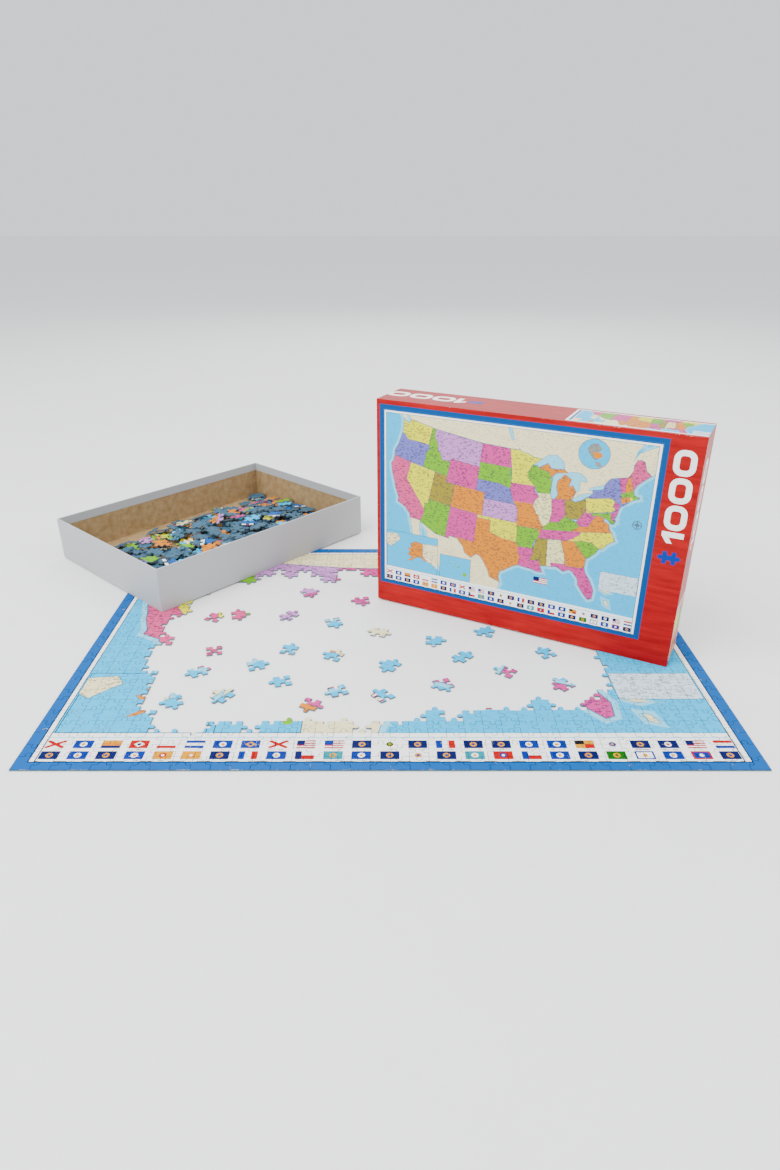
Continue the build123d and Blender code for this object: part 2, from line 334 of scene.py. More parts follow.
# Outlines of the coloured lands, as degrees west and degrees north in turn.
STATES: dict[str, tuple[str, str]] = {
    "washington": ("yellow", "124.7 48.4 123.1 48.2 122.8 49 117 49 117 46.4 116.9 46 119 45.95 121.2"
                   " 45.65 122.3 45.55 122.8 45.9 123.4 46.2 124 46.3 124.1 47"),
    "oregon": ("violet", "124 46.3 123.4 46.2 122.8 45.9 122.3 45.55 121.2 45.65 119 45.95 116.9 46"
               " 116.5 45.5 117.2 44.4 117 43.8 117 42 124.2 42 124.5 42.8 124.1 44"),
    "california": ("pink", "124.2 42 120 42 120 39 114.6 35 114.4 34.2 114.7 32.7 117.1 32.5 117.3 33.1"
                   " 118.4 33.7 118.5 34 119.2 34.1 120.5 34.4 120.6 35.1 121.9 36.6 122.5 37.6 123"
                   " 38.2 123.8 39.3 124.4 40.4 124.1 41"),
    "nevada": ("yellow", "120 42 114 42 114 36.2 114.7 36.1 114.6 35 120 39"),
    "idaho": ("green", "117 49 116 49 116 48 115.7 47.5 114.7 46.7 114.4 45.5 113.9 45.6 113 44.4 111"
              " 44.5 111 42 117 42 117 43.8 117.2 44.4 116.5 45.5 116.9 46 117 46.4"),
    "montana": ("lilac", "116 49 104 49 104 45 111 45 111 44.5 113 44.4 113.9 45.6 114.4 45.5 114.7"
                " 46.7 115.7 47.5 116 48"),
    "wyoming": ("rose", "111 45 104 45 104 41 111 41"),
    "utah": ("taupe", "114 42 111 42 111 41 109 41 109 37 114 37"),
    "colorado": ("orange", "109 41 102 41 102 37 109 37"),
    "arizona": ("green", "114 37 109 37 109 31.3 111 31.3 114.8 32.5 114.4 34.2 114.6 35 114.7 36.1 114"
                " 36.2"),
    "new_mexico": ("rose", "109 37 103 37 103 32 106.6 32 106.5 31.8 108.2 31.8 108.2 31.3 109 31.3"),
    "north_dakota": ("rose", "104 49 97.2 49 96.9 47.5 96.6 45.9 104 45.9"),
    "south_dakota": ("green", "104 45.9 96.6 45.9 96.4 43.5 96.5 42.5 98 42.8 98.5 43 104 43"),
    "nebraska": ("violet", "104 43 98.5 43 98 42.8 96.5 42.5 95.9 41.2 95.3 40 102 40 102 41 104 41"),
    "kansas": ("lilac", "102 40 95.3 40 94.9 39.8 94.6 39.1 94.6 37 102 37"),
    "oklahoma": ("yellow", "103 37 94.6 37 94.4 35.4 94.5 33.6 96 33.8 97.2 33.8 98.1 34.1 100 34.5 100"
                 " 36.5 103 36.5"),
    "texas": ("orange", "103 36.5 100 36.5 100 34.5 98.1 34.1 97.2 33.8 96 33.8 94.5 33.6 94 33 94 32"
              " 93.5 31.2 93.8 29.7 94.8 29.3 95.9 28.6 97.2 27.8 97.4 26.9 97.1 25.9 99.1 26.4 99.5"
              " 27.5 100.7 29.1 101.4 29.8 102.3 29.9 103.1 29 104.5 29.6 105 30.6 106.5 31.8 106.6 32"
              " 103 32"),
    "minnesota": ("yellow", "97.2 49 95.1 49 95.1 49.4 94.6 48.7 93 48.6 91.5 48.1 89.6 48 92 46.7 92.3"
                  " 46.1 92.9 45.6 92.7 44.7 91.2 43.5 96.4 43.5 96.4 45.3 96.9 47.5"),
    "iowa": ("rose", "96.4 43.5 91.2 43.5 91.1 42.7 90.2 41.8 91 41.2 91.4 40.4 95.8 40.6 95.9 41.2"
             " 96.5 42.5"),
    "missouri": ("orange", "95.8 40.6 91.7 40.6 91.4 40.4 90.7 39 90.1 38.8 90.2 38.4 89.5 37.3 89.1"
                 " 36.9 89.5 36.5 89.7 36 90.4 36 90.1 36.5 94.6 36.5 94.6 39.1 94.9 39.8"),
    "arkansas": ("green", "94.6 36.5 90.1 36.5 90.4 36 89.7 36 90.1 35.1 91.1 33.9 91.2 33 94 33 94.5"
                 " 33.6 94.4 35.4"),
    "louisiana": ("rose", "94 33 91.2 33 91 32.3 91.6 31 89.8 31 89.6 30.2 89.2 29.1 90.3 29.1 91.3"
                  " 29.4 92.3 29.5 93.8 29.7 93.5 31.2 94 32"),
    "wisconsin": ("green", "92.3 46.7 90.8 46.9 90.4 46.5 88.1 45.9 87.6 45.1 88 44.5 87.1 45.2 87.5"
                  " 44.3 87.8 42.5 90.6 42.5 91.2 43.5 92.7 44.7 92.9 45.6 92.3 46.1"),
    "illinois": ("cream", "90.6 42.5 87.8 42.5 87.5 41.7 87.5 39.3 88 37.9 88.1 37.4 89.1 37 89.5 37.3"
                 " 90.2 38.4 90.1 38.8 90.7 39 91.4 40.4 91 41.2 90.2 41.8"),
    "indiana": ("rose", "87.5 41.7 84.8 41.7 84.8 39.1 86 38 88 37.9 87.5 39.3"),
    "michigan": ("orange", "86.8 41.7 83.4 41.7 82.4 43 83 44 83.9 43.8 83.3 45 84.7 45.7 85.5 45 86.2"
                 " 44.7 86.5 43.6 86.2 42.5"),
    "upper_michigan": ("orange", "90.4 46.5 88.4 47.3 87.5 46.5 84.8 46.5 84 46 86.5 45.9 87.6 45.1"
                       " 88.1 45.9"),
    "ohio": ("taupe", "84.8 41.7 83.4 41.7 82.7 41.4 81.3 41.7 80.5 42 80.5 40.6 80.9 39.7 82.2 38.6"
             " 83.7 38.6 84.8 39.1"),
    "kentucky": ("green", "89.4 36.5 83.7 36.6 82 37.5 82.6 38.2 83.7 38.6 84.8 39.1 86 38 88 37.9 89.1"
                 " 37"),
    "tennessee": ("rose", "90.1 35 84.3 35 82 36.1 81.7 36.6 89.5 36.5 89.7 36"),
    "mississippi": ("taupe", "91.2 33 90.3 35 88.2 35 88.4 31.9 88.4 30.3 89.6 30.2 89.8 31 91.6 31 91"
                    " 32.3"),
    "alabama": ("cream", "88.2 35 85.6 35 85 32.3 85 31 87.6 31 87.5 30.3 88.4 30.3 88.4 31.9"),
    "georgia": ("orange", "85.6 35 83.1 35 81 32.1 81.4 30.7 82.2 30.5 84.9 30.7 85 32.3"),
    "florida": ("rose", "87.6 31 85 31 84.9 30.7 82.2 30.5 81.4 30.7 81.3 29.8 80.5 28.4 80 26.8 80.4"
                " 25.3 81.1 25.1 81.8 26.1 82.7 27.6 82.7 28.6 83.6 29.8 84.2 30.1 85.3 29.7 86.5 30.4"
                " 87.5 30.3"),
    "south_carolina": ("green", "83.1 35 81 35.1 79.7 34.8 78.5 33.9 79.3 33.1 81 32.1"),
    "north_carolina": ("yellow", "84.3 35 83.1 35 81 35.1 79.7 34.8 78.5 33.9 77.9 33.9 77 34.6 75.5"
                       " 35.2 75.9 36.5 81.7 36.6 82 36.1"),
    "virginia": ("orange", "83.7 36.6 75.9 36.5 76.3 37 76.3 37.9 77.2 38.4 77.1 38.9 78.3 39.4 79.5"
                 " 38.5 80.3 37.5 82 37.5"),
    "west_virginia": ("rose", "80.5 40.6 80.5 39.7 79.5 39.7 79.5 39.2 77.8 39.3 78.3 39.4 79.5 38.5"
                      " 80.3 37.5 82 37.5 82.6 38.2 82.2 38.6 80.9 39.7"),
    "pennsylvania": ("yellow", "80.5 42.1 79.8 42.3 79.8 42 75.3 42 74.7 41.4 75.2 40.7 74.7 40.2 75.5"
                     " 39.8 80.5 39.7"),
    "maryland": ("green", "79.5 39.7 75.8 39.7 75.7 38.5 75 38.4 75.4 37.9 76 38 76.3 38.5 77.1 38.9"
                 " 77.8 39.3 79.5 39.2"),
    "delaware": ("rose", "75.8 39.7 75.4 39.8 75 38.4 75.7 38.5"),
    "new_jersey": ("rose", "74.7 41.4 73.9 41 74 40.4 74.9 38.9 75.5 39.5 74.7 40.2 75.2 40.7"),
    "new_york": ("violet", "79.8 42.3 78.9 42.8 79 43.3 76.8 43.3 76.3 44.2 75 45 73.3 45 73.3 42.7"
                 " 73.5 42 73.5 41.2 72 41.1 73.9 40.5 73.9 41 74.7 41.4 75.3 42 79.8 42"),
    "vermont": ("rose", "73.3 45 71.5 45 72.3 43.8 72.5 42.7 73.3 42.7"),
    "new_hampshire": ("orange", "71.5 45 71.1 45.3 70.9 43.1 70.8 42.9 72.5 42.7 72.3 43.8"),
    "maine": ("pink", "71.1 45.3 70.3 45.9 70 46.7 69.2 47.4 68.3 47.3 67.8 47 67.8 45.7 67 44.8 68.5"
              " 44.3 70 43.7 70.7 43.1 70.9 43.1"),
    "massachusetts": ("green", "73.5 42 73.3 42.7 70.8 42.9 70.9 42.3 70.6 42 70 41.8 70 41.6 71.2 41.5"
                      " 71.8 42"),
    "connecticut": ("orange", "73.5 42 71.8 42 71.8 41.3 73.6 41"),
    "rhode_island": ("yellow", "71.8 42 71.3 41.9 71.2 41.5 71.8 41.3"),
}
NEIGHBOURS: dict[str, str] = {
    "canada": "122.8 49 124.8 50 127.5 51 129 53 132 56 55 57 60 50.3 66.5 50 69 48.6 70 47.2 68.5 48.4"
              " 64.3 48.9 65 48 64.5 47 60 46.5 61 45.3 63.5 44.6 66 43.5 66 44.5 64.5 45.4 67 44.8"
              " 67.8 45.7 69.2 47.4 71 45.2 74 43 79 41 84 42 89 46 95 48 97 48.5 117 48.5",
    "vancouver_island": "123.4 48.4 125 48.8 128 50.7 127.2 50.9 124.9 49.8",
    "mexico": "114.8 32.5 113 31.2 112.2 29.5 109 25.5 105 20 97 20 97.8 22.5 97.5 24 97.1 25.9 99.1 27"
              " 101.4 30.2 103.1 29.4 106.5 32 111 31.6",
    "baja": "117.1 32.5 114.8 32.6 114.7 31.5 114 29.5 112 26.5 113 26 115 28.2 116 30.5",
    "cuba": "85 22.2 82.5 23.2 79 22.8 75 21 75 20 85 20",
    "bahama_north": "78.8 26.9 77.9 27 77 26.4 77.9 26.5",
    "bahama_south": "78.3 25.2 77.8 25 77.6 24 78.2 24.4",
}
LAKES: tuple[str, ...] = (
    "92 46.7 90.8 46.9 90.4 46.6 88.4 47.4 87.5 46.6 84.8 46.5 84.7 47 85 47.9 86.5 48.7 88.2 48.6 89.5"
    " 48",
    "87.8 42.5 87.5 41.7 87 41.7 86.2 42.5 86.5 43.6 86.2 44.7 85 45.7 85.6 46 87 45.7 87.7 44.6",
    "84.7 45.7 83.3 45 83.3 44.3 83.9 43.8 83 44 82.4 43 81.7 43.3 81.5 44.8 80.1 44.5 80.2 45.2 81.5"
    " 46 83.5 46.1",
    "83.4 41.7 82.7 41.4 81.3 41.7 79.8 42.3 78.9 42.8 80 42.8 81.3 42.6 82.5 42.1 83.1 42.1",
    "79.7 43.3 79 43.2 76.3 43.5 76.2 44.1 77.5 43.9 79.3 43.7",
    "99.2 53.5 98 52 97 50.4 96.6 50.6 97.8 53.5",
)


class FlagKind(Enum):
    """Plain layouts of the little flags under the map."""

    BANDS_ACROSS = "three bands lying"
    BANDS_UP = "three bands standing"
    CROSS = "slanting cross"
    EMBLEM = "disc in the middle"
    DIAMOND = "diamond in the middle"
    STRIPES = "stripes and a corner block"
    PENNANT = "two bands and a block"
    QUARTERS = "four quarters"
    EDGED = "edge all round"


@dataclass(frozen=True)
class Flag:
    """One little flag: its layout and its three inks."""

    kind: FlagKind
    first: str
    second: str
    third: str

    def regions(self, x: float, y: float, length: float, height: float) -> list[Region]:
        """Painter's list of the flag.

        Args:
            x: Left edge.
            y: Lower edge.
            length: Length of the flag.
            height: Height of the flag.

        Returns:
            Its regions, ground first.
        """
        def part(ink: str, left: float, low: float, right: float, high: float) -> Region:
            """Rectangle given in shares of the flag."""
            return shape(ink, *rectangle(left, low, right, high))

        def shape(ink: str, *points: Point) -> Region:
            """Outline given in shares of the flag."""
            return Region(ink, tuple((x + a * length, y + b * height) for a, b in points))

        ground = part(self.first, 0, 0, 1, 1)
        centre = (x + length / 2, y + height / 2)
        if self.kind is FlagKind.BANDS_ACROSS:
            return [ground, part(self.second, 0, 1 / 3, 1, 1), part(self.third, 0, 2 / 3, 1, 1)]
        if self.kind is FlagKind.BANDS_UP:
            return [ground, part(self.second, 1 / 3, 0, 1, 1), part(self.third, 2 / 3, 0, 1, 1)]
        if self.kind is FlagKind.CROSS:
            return [
                ground,
                shape(self.second, (0, 0), (0.14, 0), (1, 0.8), (1, 1), (0.86, 1), (0, 0.2)),
                shape(self.second, (0.86, 0), (1, 0), (1, 0.2), (0.14, 1), (0, 1), (0, 0.8)),
            ]
        if self.kind is FlagKind.EMBLEM:
            return [ground, Region(self.second, disc(*centre, 0.3 * height, 10)),
                    Region(self.third, disc(*centre, 0.14 * height, 8))]
        if self.kind is FlagKind.DIAMOND:
            return [ground, shape(self.second, (0.2, 0.5), (0.5, 0.15), (0.8, 0.5), (0.5, 0.85)),
                    Region(self.third, disc(*centre, 0.16 * height, 8))]
        if self.kind is FlagKind.STRIPES:
            stripes = [part(self.second, 0, k / 7, 1, (k + 1) / 7) for k in range(0, 7, 2)]
            return [ground, *stripes, part(self.third, 0, 3 / 7, 0.42, 1)]
        if self.kind is FlagKind.PENNANT:
            return [ground, part(self.second, 0, 0.5, 1, 1), part(self.third, 0, 0, 0.34, 1)]
        if self.kind is FlagKind.QUARTERS:
            return [ground, part(self.second, 0, 0.5, 0.5, 1), part(self.third, 0.5, 0, 1, 0.5)]
        return [ground, part(self.second, 0.1, 0.14, 0.9, 0.86),
                Region(self.third, disc(*centre, 0.2 * height, 8))]


def flag_row(text: str) -> tuple[Flag, ...]:
    """Flags of one row.

    Args:
        text: For each flag its layout and its three inks, with a comma between the flags.

    Returns:
        The flags in their order.
    """
    words = (flag.split() for flag in text.split(","))
    return tuple(Flag(FlagKind[kind.upper()], *inks) for kind, *inks in words)


LARGE_FLAG = Flag(FlagKind.STRIPES, "paper", "flag_red", "navy")
UPPER_FLAGS = flag_row(
    "cross paper flag_red paper, emblem royal paper gold, bands_across navy orange gold, "
    "diamond flag_red paper navy, bands_across flag_red paper paper, bands_across royal paper royal, "
    "emblem royal paper gold, diamond royal gold royal, cross paper flag_red paper, "
    "stripes paper flag_red navy, stripes paper flag_red royal, emblem navy gold royal, "
    "emblem paper leaf gold, emblem navy gold royal, bands_up royal paper flag_red, "
    "emblem navy gold royal, emblem navy gold royal, emblem royal paper gold, emblem royal paper gold, "
    "quarters gold black flag_red, emblem paper royal gold, emblem navy gold royal, "
    "emblem navy paper flag_red, stripes paper flag_red navy, bands_across royal paper flag_red"
)
LOWER_FLAGS = flag_row(
    "emblem navy gold royal, emblem royal paper gold, emblem navy gold royal, emblem royal paper gold, "
    "emblem gold flag_red paper, emblem gold orange paper, emblem navy gold royal, "
    "bands_up royal paper flag_red, emblem royal paper gold, pennant flag_red paper navy, "
    "emblem teal gold teal, emblem royal paper gold, emblem navy gold royal, emblem paper gold royal, "
    "emblem navy gold royal, emblem teal paper gold, emblem flag_red royal paper, "
    "pennant flag_red paper royal, emblem royal paper gold, emblem navy gold royal, "
    "emblem leaf gold leaf, edged royal paper gold, emblem royal paper gold, "
    "edged flag_red royal paper, emblem navy gold royal"
)


@dataclass(frozen=True)
class MapSheet:
    """The whole printed picture, in millimetres from the near left corner of the sheet."""

    length: float = 680.0
    width: float = 490.0
    margin: Box = (12.0, 10.0, 668.0, 477.0)
    hairline: Box = (17.6, 10.8, 661.4, 471.4)
    map_box: Box = (18.6, 53.0, 660.4, 470.4)
    arctic_box: Box = (20.0, 53.0, 164.5, 158.0)
    islands_box: Box = (171.0, 53.0, 255.0, 118.0)
    key_box: Box = (573.0, 109.5, 659.5, 157.5)
    globe: Triple = (527.8, 435.3, 34.0)
    compass: Triple = (638.9, 286.0, 10.5)
    flag_pitch: float = 25.95
    first_flag: float = 28.2
    flag_size: tuple[float, float] = (17.7, 11.5)
    flag_rows: tuple[float, float] = (36.2, 20.3)
    large_flag: Box = (418.0, 92.0, 34.0, 17.0)
    caption: tuple[float, float] = (1.2, 3.2)
    caption_inset: float = 2.0
    pale_line: tuple[float, float] = (45.5, 46.8)
    shallows: float = 7.0
    line: float = 0.9
    frame_line: float = 1.2
    projection: Projection = field(default_factory=Projection)

    def regions(self) -> list[Region]:
        """Painter's list of the picture.

        Returns:
            Its regions, ground first.
        """
        low, high = self.pale_line
        found = [
            Region("frame_blue", rectangle(0, 0, self.length, self.width)),
            Region("hairline", rectangle(*self.margin)),
            Region("paper", grown(rectangle(*self.margin), -self.frame_line)),
            Region("hairline", rectangle(*self.hairline)),
            Region("paper", grown(rectangle(*self.hairline), -self.frame_line)),
            Region("shelf", rectangle(self.hairline[0] + self.line, low, self.hairline[2] - self.line, high)),
            Region("sea", rectangle(*self.map_box), 0.25),
        ]
        found += self.land() + self.insets() + self.ornaments() + self.flags()
        return found

    def land(self) -> list[Region]:
        """Neighbouring land, lakes and states.

        Returns:
            Their regions, kept inside the map box.
        """
        around = [self.projection.outline(text) for text in NEIGHBOURS.values()]
        lakes = [self.projection.outline(text) for text in LAKES]
        states = [(ink, self.projection.outline(text)) for ink, text in STATES.values()]
        found = [Region("shelf", grown(shape, self.shallows), 0.2) for shape in around]
        found += [Region("shelf", grown(shape, self.shallows), 0.2) for _, shape in states]
        found += [Region("coast", grown(shape, self.line)) for shape in around]
        found += [Region("neighbour", shape, 0.4) for shape in around]
        found += [Region("coast", grown(shape, self.line)) for shape in lakes]
        found += [Region("shelf", shape, 0.2) for shape in lakes]
        found += [Region("coast", grown(shape, self.line)) for _, shape in states]
        found += [Region("state_line", shape, 0.8) for _, shape in states]
        found += [Region(ink, grown(shape, -self.line / 2), 1.0) for ink, shape in states]
        return windowed(found, self.map_box)

    def insets(self) -> list[Region]:
        """The two framed corner maps and the key.

        Returns:
            Their regions.
        """
        mainland = ((101, 138), (122, 135), (123, 100), (133, 88), (130, 85), (119, 95), (107, 94.5),
                    (89, 81), (79, 79), (94, 92), (80, 98), (87, 107), (80, 116), (92, 119), (87, 128))
        east = ((122, 135), (164, 138), (164, 70), (150, 81), (134, 87), (123, 100))
        west = ((20, 148), (50, 152), (59, 138), (45, 125), (32, 111), (20, 119))
        isles = ((195, 103, 2.2), (213.7, 97.3, 2.6), (221.7, 89.1, 3.2), (240, 72, 6.0))
        found = []
        for box in (self.arctic_box, self.islands_box):
            found += [Region("hairline", rectangle(*box)),
                      Region("sea", grown(rectangle(*box), -self.line), 0.2)]
        for ink, shape in (("neighbour", east), ("neighbour", west), ("orange", mainland)):
            found += [Region("coast", grown(shape, self.line)), Region(ink, grown(shape, 0), 0.9)]
        found += [Region("green", disc(*isle, 9), 0.4) for isle in isles]
        found += [Region("hairline", rectangle(*self.key_box)),
                  Region("legend", grown(rectangle(*self.key_box), -self.line / 2), 0.8)]
        return found

    def ornaments(self) -> list[Region]:
        """Globe, compass and the larger flag.

        Returns:
            Their regions.
        """
        x, y, radius = self.globe
        cap = ((-17, 10), (-8, 22), (6, 25), (16, 14), (9, 4), (13, -7), (2, -14), (-9, -4))
        middle = ((-4, 4), (14, 5), (20, -2), (13, -9), (1, -8))
        south = ((4, -17), (15, -17), (20, -26), (12, -30), (6, -24))
        found = [Region("hairline", disc(x, y, radius + self.line, 40)),
                 Region("sea", disc(x, y, radius, 40), 0.3)]
        for ink, shape in (("land_grey", cap), ("land_grey", south), ("orange", middle)):
            found.append(Region(ink, grown([(x + a, y + b) for a, b in shape], 0), 0.4))
        x, y, radius = self.compass
        found += [Region("compass", disc(x, y, radius)), Region("sea", disc(x, y, 0.8 * radius))]
        for number, reach in enumerate((1.25, 0.7) * 4):
            turn = math.radians(45 * number)
            ahead, aside = (math.cos(turn), math.sin(turn)), (-math.sin(turn), math.cos(turn))
            tip = tuple(
                (x + radius * (a * ahead[0] + b * aside[0]), y + radius * (a * ahead[1] + b * aside[1]))
                for a, b in ((0, -0.22), (reach, 0), (0, 0.22))
            )
            found.append(Region("compass", tip))
        return found + LARGE_FLAG.regions(*self.large_flag)

    def flags(self) -> list[Region]:
        """Two rows of little flags, each with a line of specks under it.

        Returns:
            Their regions.
        """
        length, height = self.flag_size
        found = []
        for middle, row in zip(self.flag_rows, (UPPER_FLAGS, LOWER_FLAGS)):
            for number, flag in enumerate(row):
                x = self.first_flag + number * self.flag_pitch - length / 2
                low = middle - height / 2
                found += flag.regions(x, low, length, height)
                left, right = x + self.caption_inset, x + length - self.caption_inset
                caption = rectangle(left, low - self.caption[1], right, low - self.caption[0])
                found.append(Region("paper", caption, 1.0))
        return found


# ---------------------------------------------------------------------------
# Meshes cut along the print
# ---------------------------------------------------------------------------
class Finish(Enum):
    """Material places on a piece: the printed face, the die-cut edge and the plain back."""

    PRINT = 0
    EDGE = 1
    BACK = 2


@dataclass
class PrintCutter:
    """Cuts flat outlines along a painter's list of regions."""

    regions: Sequence[Region]
    spare: float = 1.0
    least_area: float = 1e-4
    same_area: float = 1e-6
    same_place: float = 1e-5

    def __post_init__(self) -> None:
        self.boxes = np.array([region.box for region in self.regions])

    def crossing(self, window: Box) -> list[tuple[Region, list[Point]]]:
        """Find the regions that reach into a window.

        Args:
            window: Lowest x, lowest y, highest x and highest y.

        Returns:
            Regions and their clipped outlines, from the lowest that still shows.
        """
        low_x, low_y, high_x, high_y = window
        boxes = self.boxes
        hit = (boxes[:, 0] < high_x) & (boxes[:, 2] > low_x) & (boxes[:, 1] < high_y) & (boxes[:, 3] > low_y)
        full = (high_x - low_x) * (high_y - low_y)
        found = []
        for number in np.nonzero(hit)[0]:
            outline = clipped(self.regions[number].outline, window)
            area = turn_area(outline) if outline else 0.0
            if abs(area) < self.least_area:
                continue
            if abs(abs(area) - full) < self.same_area * full:
                found = []
            found.append((self.regions[number], outline if area > 0 else outline[::-1]))
        return found

    def cut(
        self, outline: Sequence[Point],
    ) -> tuple[list[Point], list[tuple[int, ...]], list[Region], list[int]]:
        """Cut one outline into triangles, each inside one region.

        Args:
            outline: Anticlockwise outline on the sheet, in millimetres.

        Returns:
            Points, triangles, the region of each triangle, and for each outline point its place
            among the points.
        """
        xs, ys = zip(*outline)
        window = (min(xs) - self.spare, min(ys) - self.spare, max(xs) + self.spare, max(ys) + self.spare)
        layers = self.crossing(window)
        points = [Vector(p) for p in outline]
        faces = [list(range(len(points)))]
        for _, shape in layers:
            faces.append(list(range(len(points), len(points) + len(shape))))
            points += [Vector(p) for p in shape]
        verts, _, tris, originals, _, owners = delaunay_2d_cdt(points, [], faces, 0, self.same_place, True)
        kept, inks = [], []
        for triangle, owner in zip(tris, owners):
            if 0 in owner:
                top = max(owner)
                kept.append(tuple(triangle))
                inks.append(layers[top - 1][0] if top else layers[0][0])
        places = {old: new for new, olds in enumerate(originals) for old in olds if old < len(outline)}
        return [tuple(v) for v in verts], kept, inks, [places[k] for k in range(len(outline))]


@dataclass
class MeshDraft:
    """Vertices and faces of a mesh in the making, with inks and places on the sheet."""

    points: list[Triple] = field(default_factory=list)
    sheet: list[Point] = field(default_factory=list)
    faces: list[tuple[int, ...]] = field(default_factory=list)
    finishes: list[int] = field(default_factory=list)
    inks: list[Colour] = field(default_factory=list)
    marks: list[Triple] = field(default_factory=list)

    def vertex(self, point: Iterable[float], place: Point) -> int:
        """Add a vertex.

        Args:
            point: Where it lies, in millimetres.
            place: Its place on the sheet.

        Returns:
            Its number.
        """
        self.points.append(tuple(value * MM for value in point))
        self.sheet.append(place)
        return len(self.points) - 1

    def face(self, corners: Sequence[int], finish: Finish, ink: Colour, marks: Triple) -> None:
        """Add a face.

        Args:
            corners: Numbers of its vertices.
            finish: Material place.
            ink: Its ink.
            marks: How strong its specks, streaks and wear are.
        """
        self.faces.append(tuple(corners))
        self.finishes.append(finish.value)
        self.inks.append(ink)
        self.marks.append(marks)

    def build(self, name: str, materials: Sequence[bpy.types.Material]) -> bpy.types.Object:
        """Make the object.

        Args:
            name: Name of the object.
            materials: Its materials, in the order of Finish.

        Returns:
            The new object.
        """
        mesh = bpy.data.meshes.new(name)
        mesh.from_pydata(self.points, [], self.faces)
        for material in materials:
            mesh.materials.append(material)
        mesh.polygons.foreach_set("material_index", self.finishes)
        counts = [len(face) for face in self.faces]
        paint(mesh, "ink", np.repeat(np.array(self.inks), counts, axis=0))
        paint(mesh, "marks", np.repeat(np.array(self.marks), counts, axis=0))
        corners = np.array([corner for face in self.faces for corner in face])
        places = np.array(self.sheet)[corners] / SHEET_UNIT
        mesh.uv_layers.new(name="sheet").data.foreach_set("uv", places.astype(np.float32).ravel())
        mesh.validate()
        made = bpy.data.objects.new(name, mesh)
        bpy.context.scene.collection.objects.link(made)
        return made


def paint(mesh: bpy.types.Mesh, name: str, values: np.ndarray) -> None:
    """Store one colour for each face corner.

    Args:
        mesh: Mesh to paint.
        name: Name of the colour attribute.
        values: Three shares for each corner.
    """
    attribute = mesh.color_attributes.new(name=name, type="FLOAT_COLOR", domain="CORNER")
    full = np.column_stack([values, np.ones(len(values))]).astype(np.float32)
    attribute.data.foreach_set("color", full.ravel())


def thinned(outline: np.ndarray, stray: float) -> np.ndarray:
    """Drop the points of a closed outline that lie within a distance of the sides left.

    Args:
        outline: Points in order.
        stray: Greatest distance.

    Returns:
        The points kept.
    """
    start = int(np.argmin(outline.sum(axis=1)))
    ring = np.roll(outline, -start, axis=0)
    far = int(np.argmax(np.linalg.norm(ring - ring[0], axis=1)))
    ring = np.vstack([ring, ring[:1]])
    keep, spans = {0, far}, [(0, far), (far, len(ring) - 1)]
    while spans:
        a, b = spans.pop()
        if b - a < 2:
            continue
        side = ring[b] - ring[a]
        rest = ring[a + 1:b] - ring[a]
        away = np.abs(rest[:, 0] * side[1] - rest[:, 1] * side[0]) / max(float(np.hypot(*side)), TINY)
        worst = int(np.argmax(away))
        if away[worst] > stray:
            middle = a + 1 + worst
            keep.add(middle)
            spans += [(a, middle), (middle, b)]
    return ring[sorted(keep)]


@dataclass
class Plate:
    """One flat cut-out solid of the frame: its caps' outline, plane and thickness, in millimetres."""

    outline: np.ndarray
    corner: np.ndarray
    ahead: np.ndarray
    aside: np.ndarray
    up: np.ndarray
    thickness: float

    def lift(self, x: float, y: float, height: float) -> np.ndarray:
        """Point in the shared frame for a place on the plate and a height above its underside."""
        return self.corner + x * self.ahead + y * self.aside + height * self.up

    @property
    def turn(self) -> float:
        """How far the plate's straight sides are turned from its axes.

        Returns:
            The turn in radians, within an eighth of a full turn.
        """
        sides = np.roll(self.outline, -1, axis=0) - self.outline
        spans = sides[:, 0] + 1j * sides[:, 1]
        long = np.abs(spans) > LONG_SIDE
        return float(np.angle(np.sum(spans[long] ** 4 / np.abs(spans[long]) ** 3))) / 4


def split_solids(mesh: bpy.types.Mesh) -> list[tuple[np.ndarray, np.ndarray]]:
    """Part a frame mesh into its solids.

    Args:
        mesh: Mesh of a node.

    Returns:
        For each solid its points in millimetres and its triangles.
    """
    count = len(mesh.vertices)
    points = np.empty(count * 3)
    mesh.vertices.foreach_get("co", points)
    points = points.reshape(-1, 3) / MM
    mesh.calc_loop_triangles()
    tris = np.empty(len(mesh.loop_triangles) * 3, np.int64)
    mesh.loop_triangles.foreach_get("vertices", tris)
    _, first, merged = np.unique(np.round(points, 3), axis=0, return_index=True, return_inverse=True)
    points, tris = points[first], merged.ravel()[tris].reshape(-1, 3)
    label = np.arange(len(points))
    while True:
        lower = label.copy()
        np.minimum.at(lower, tris.ravel(), np.repeat(label[tris].min(axis=1), 3))
        lower = lower[lower]
        if (lower == label).all():
            break
        label = lower
    owner = label[tris[:, 0]]
    order = np.argsort(owner, kind="stable")
    breaks = np.nonzero(np.diff(owner[order]))[0] + 1
    solids = []
    for group in np.split(tris[order], breaks):
        used, flat = np.unique(group, return_inverse=True)
        solids.append((points[used], flat.reshape(-1, 3)))
    return solids


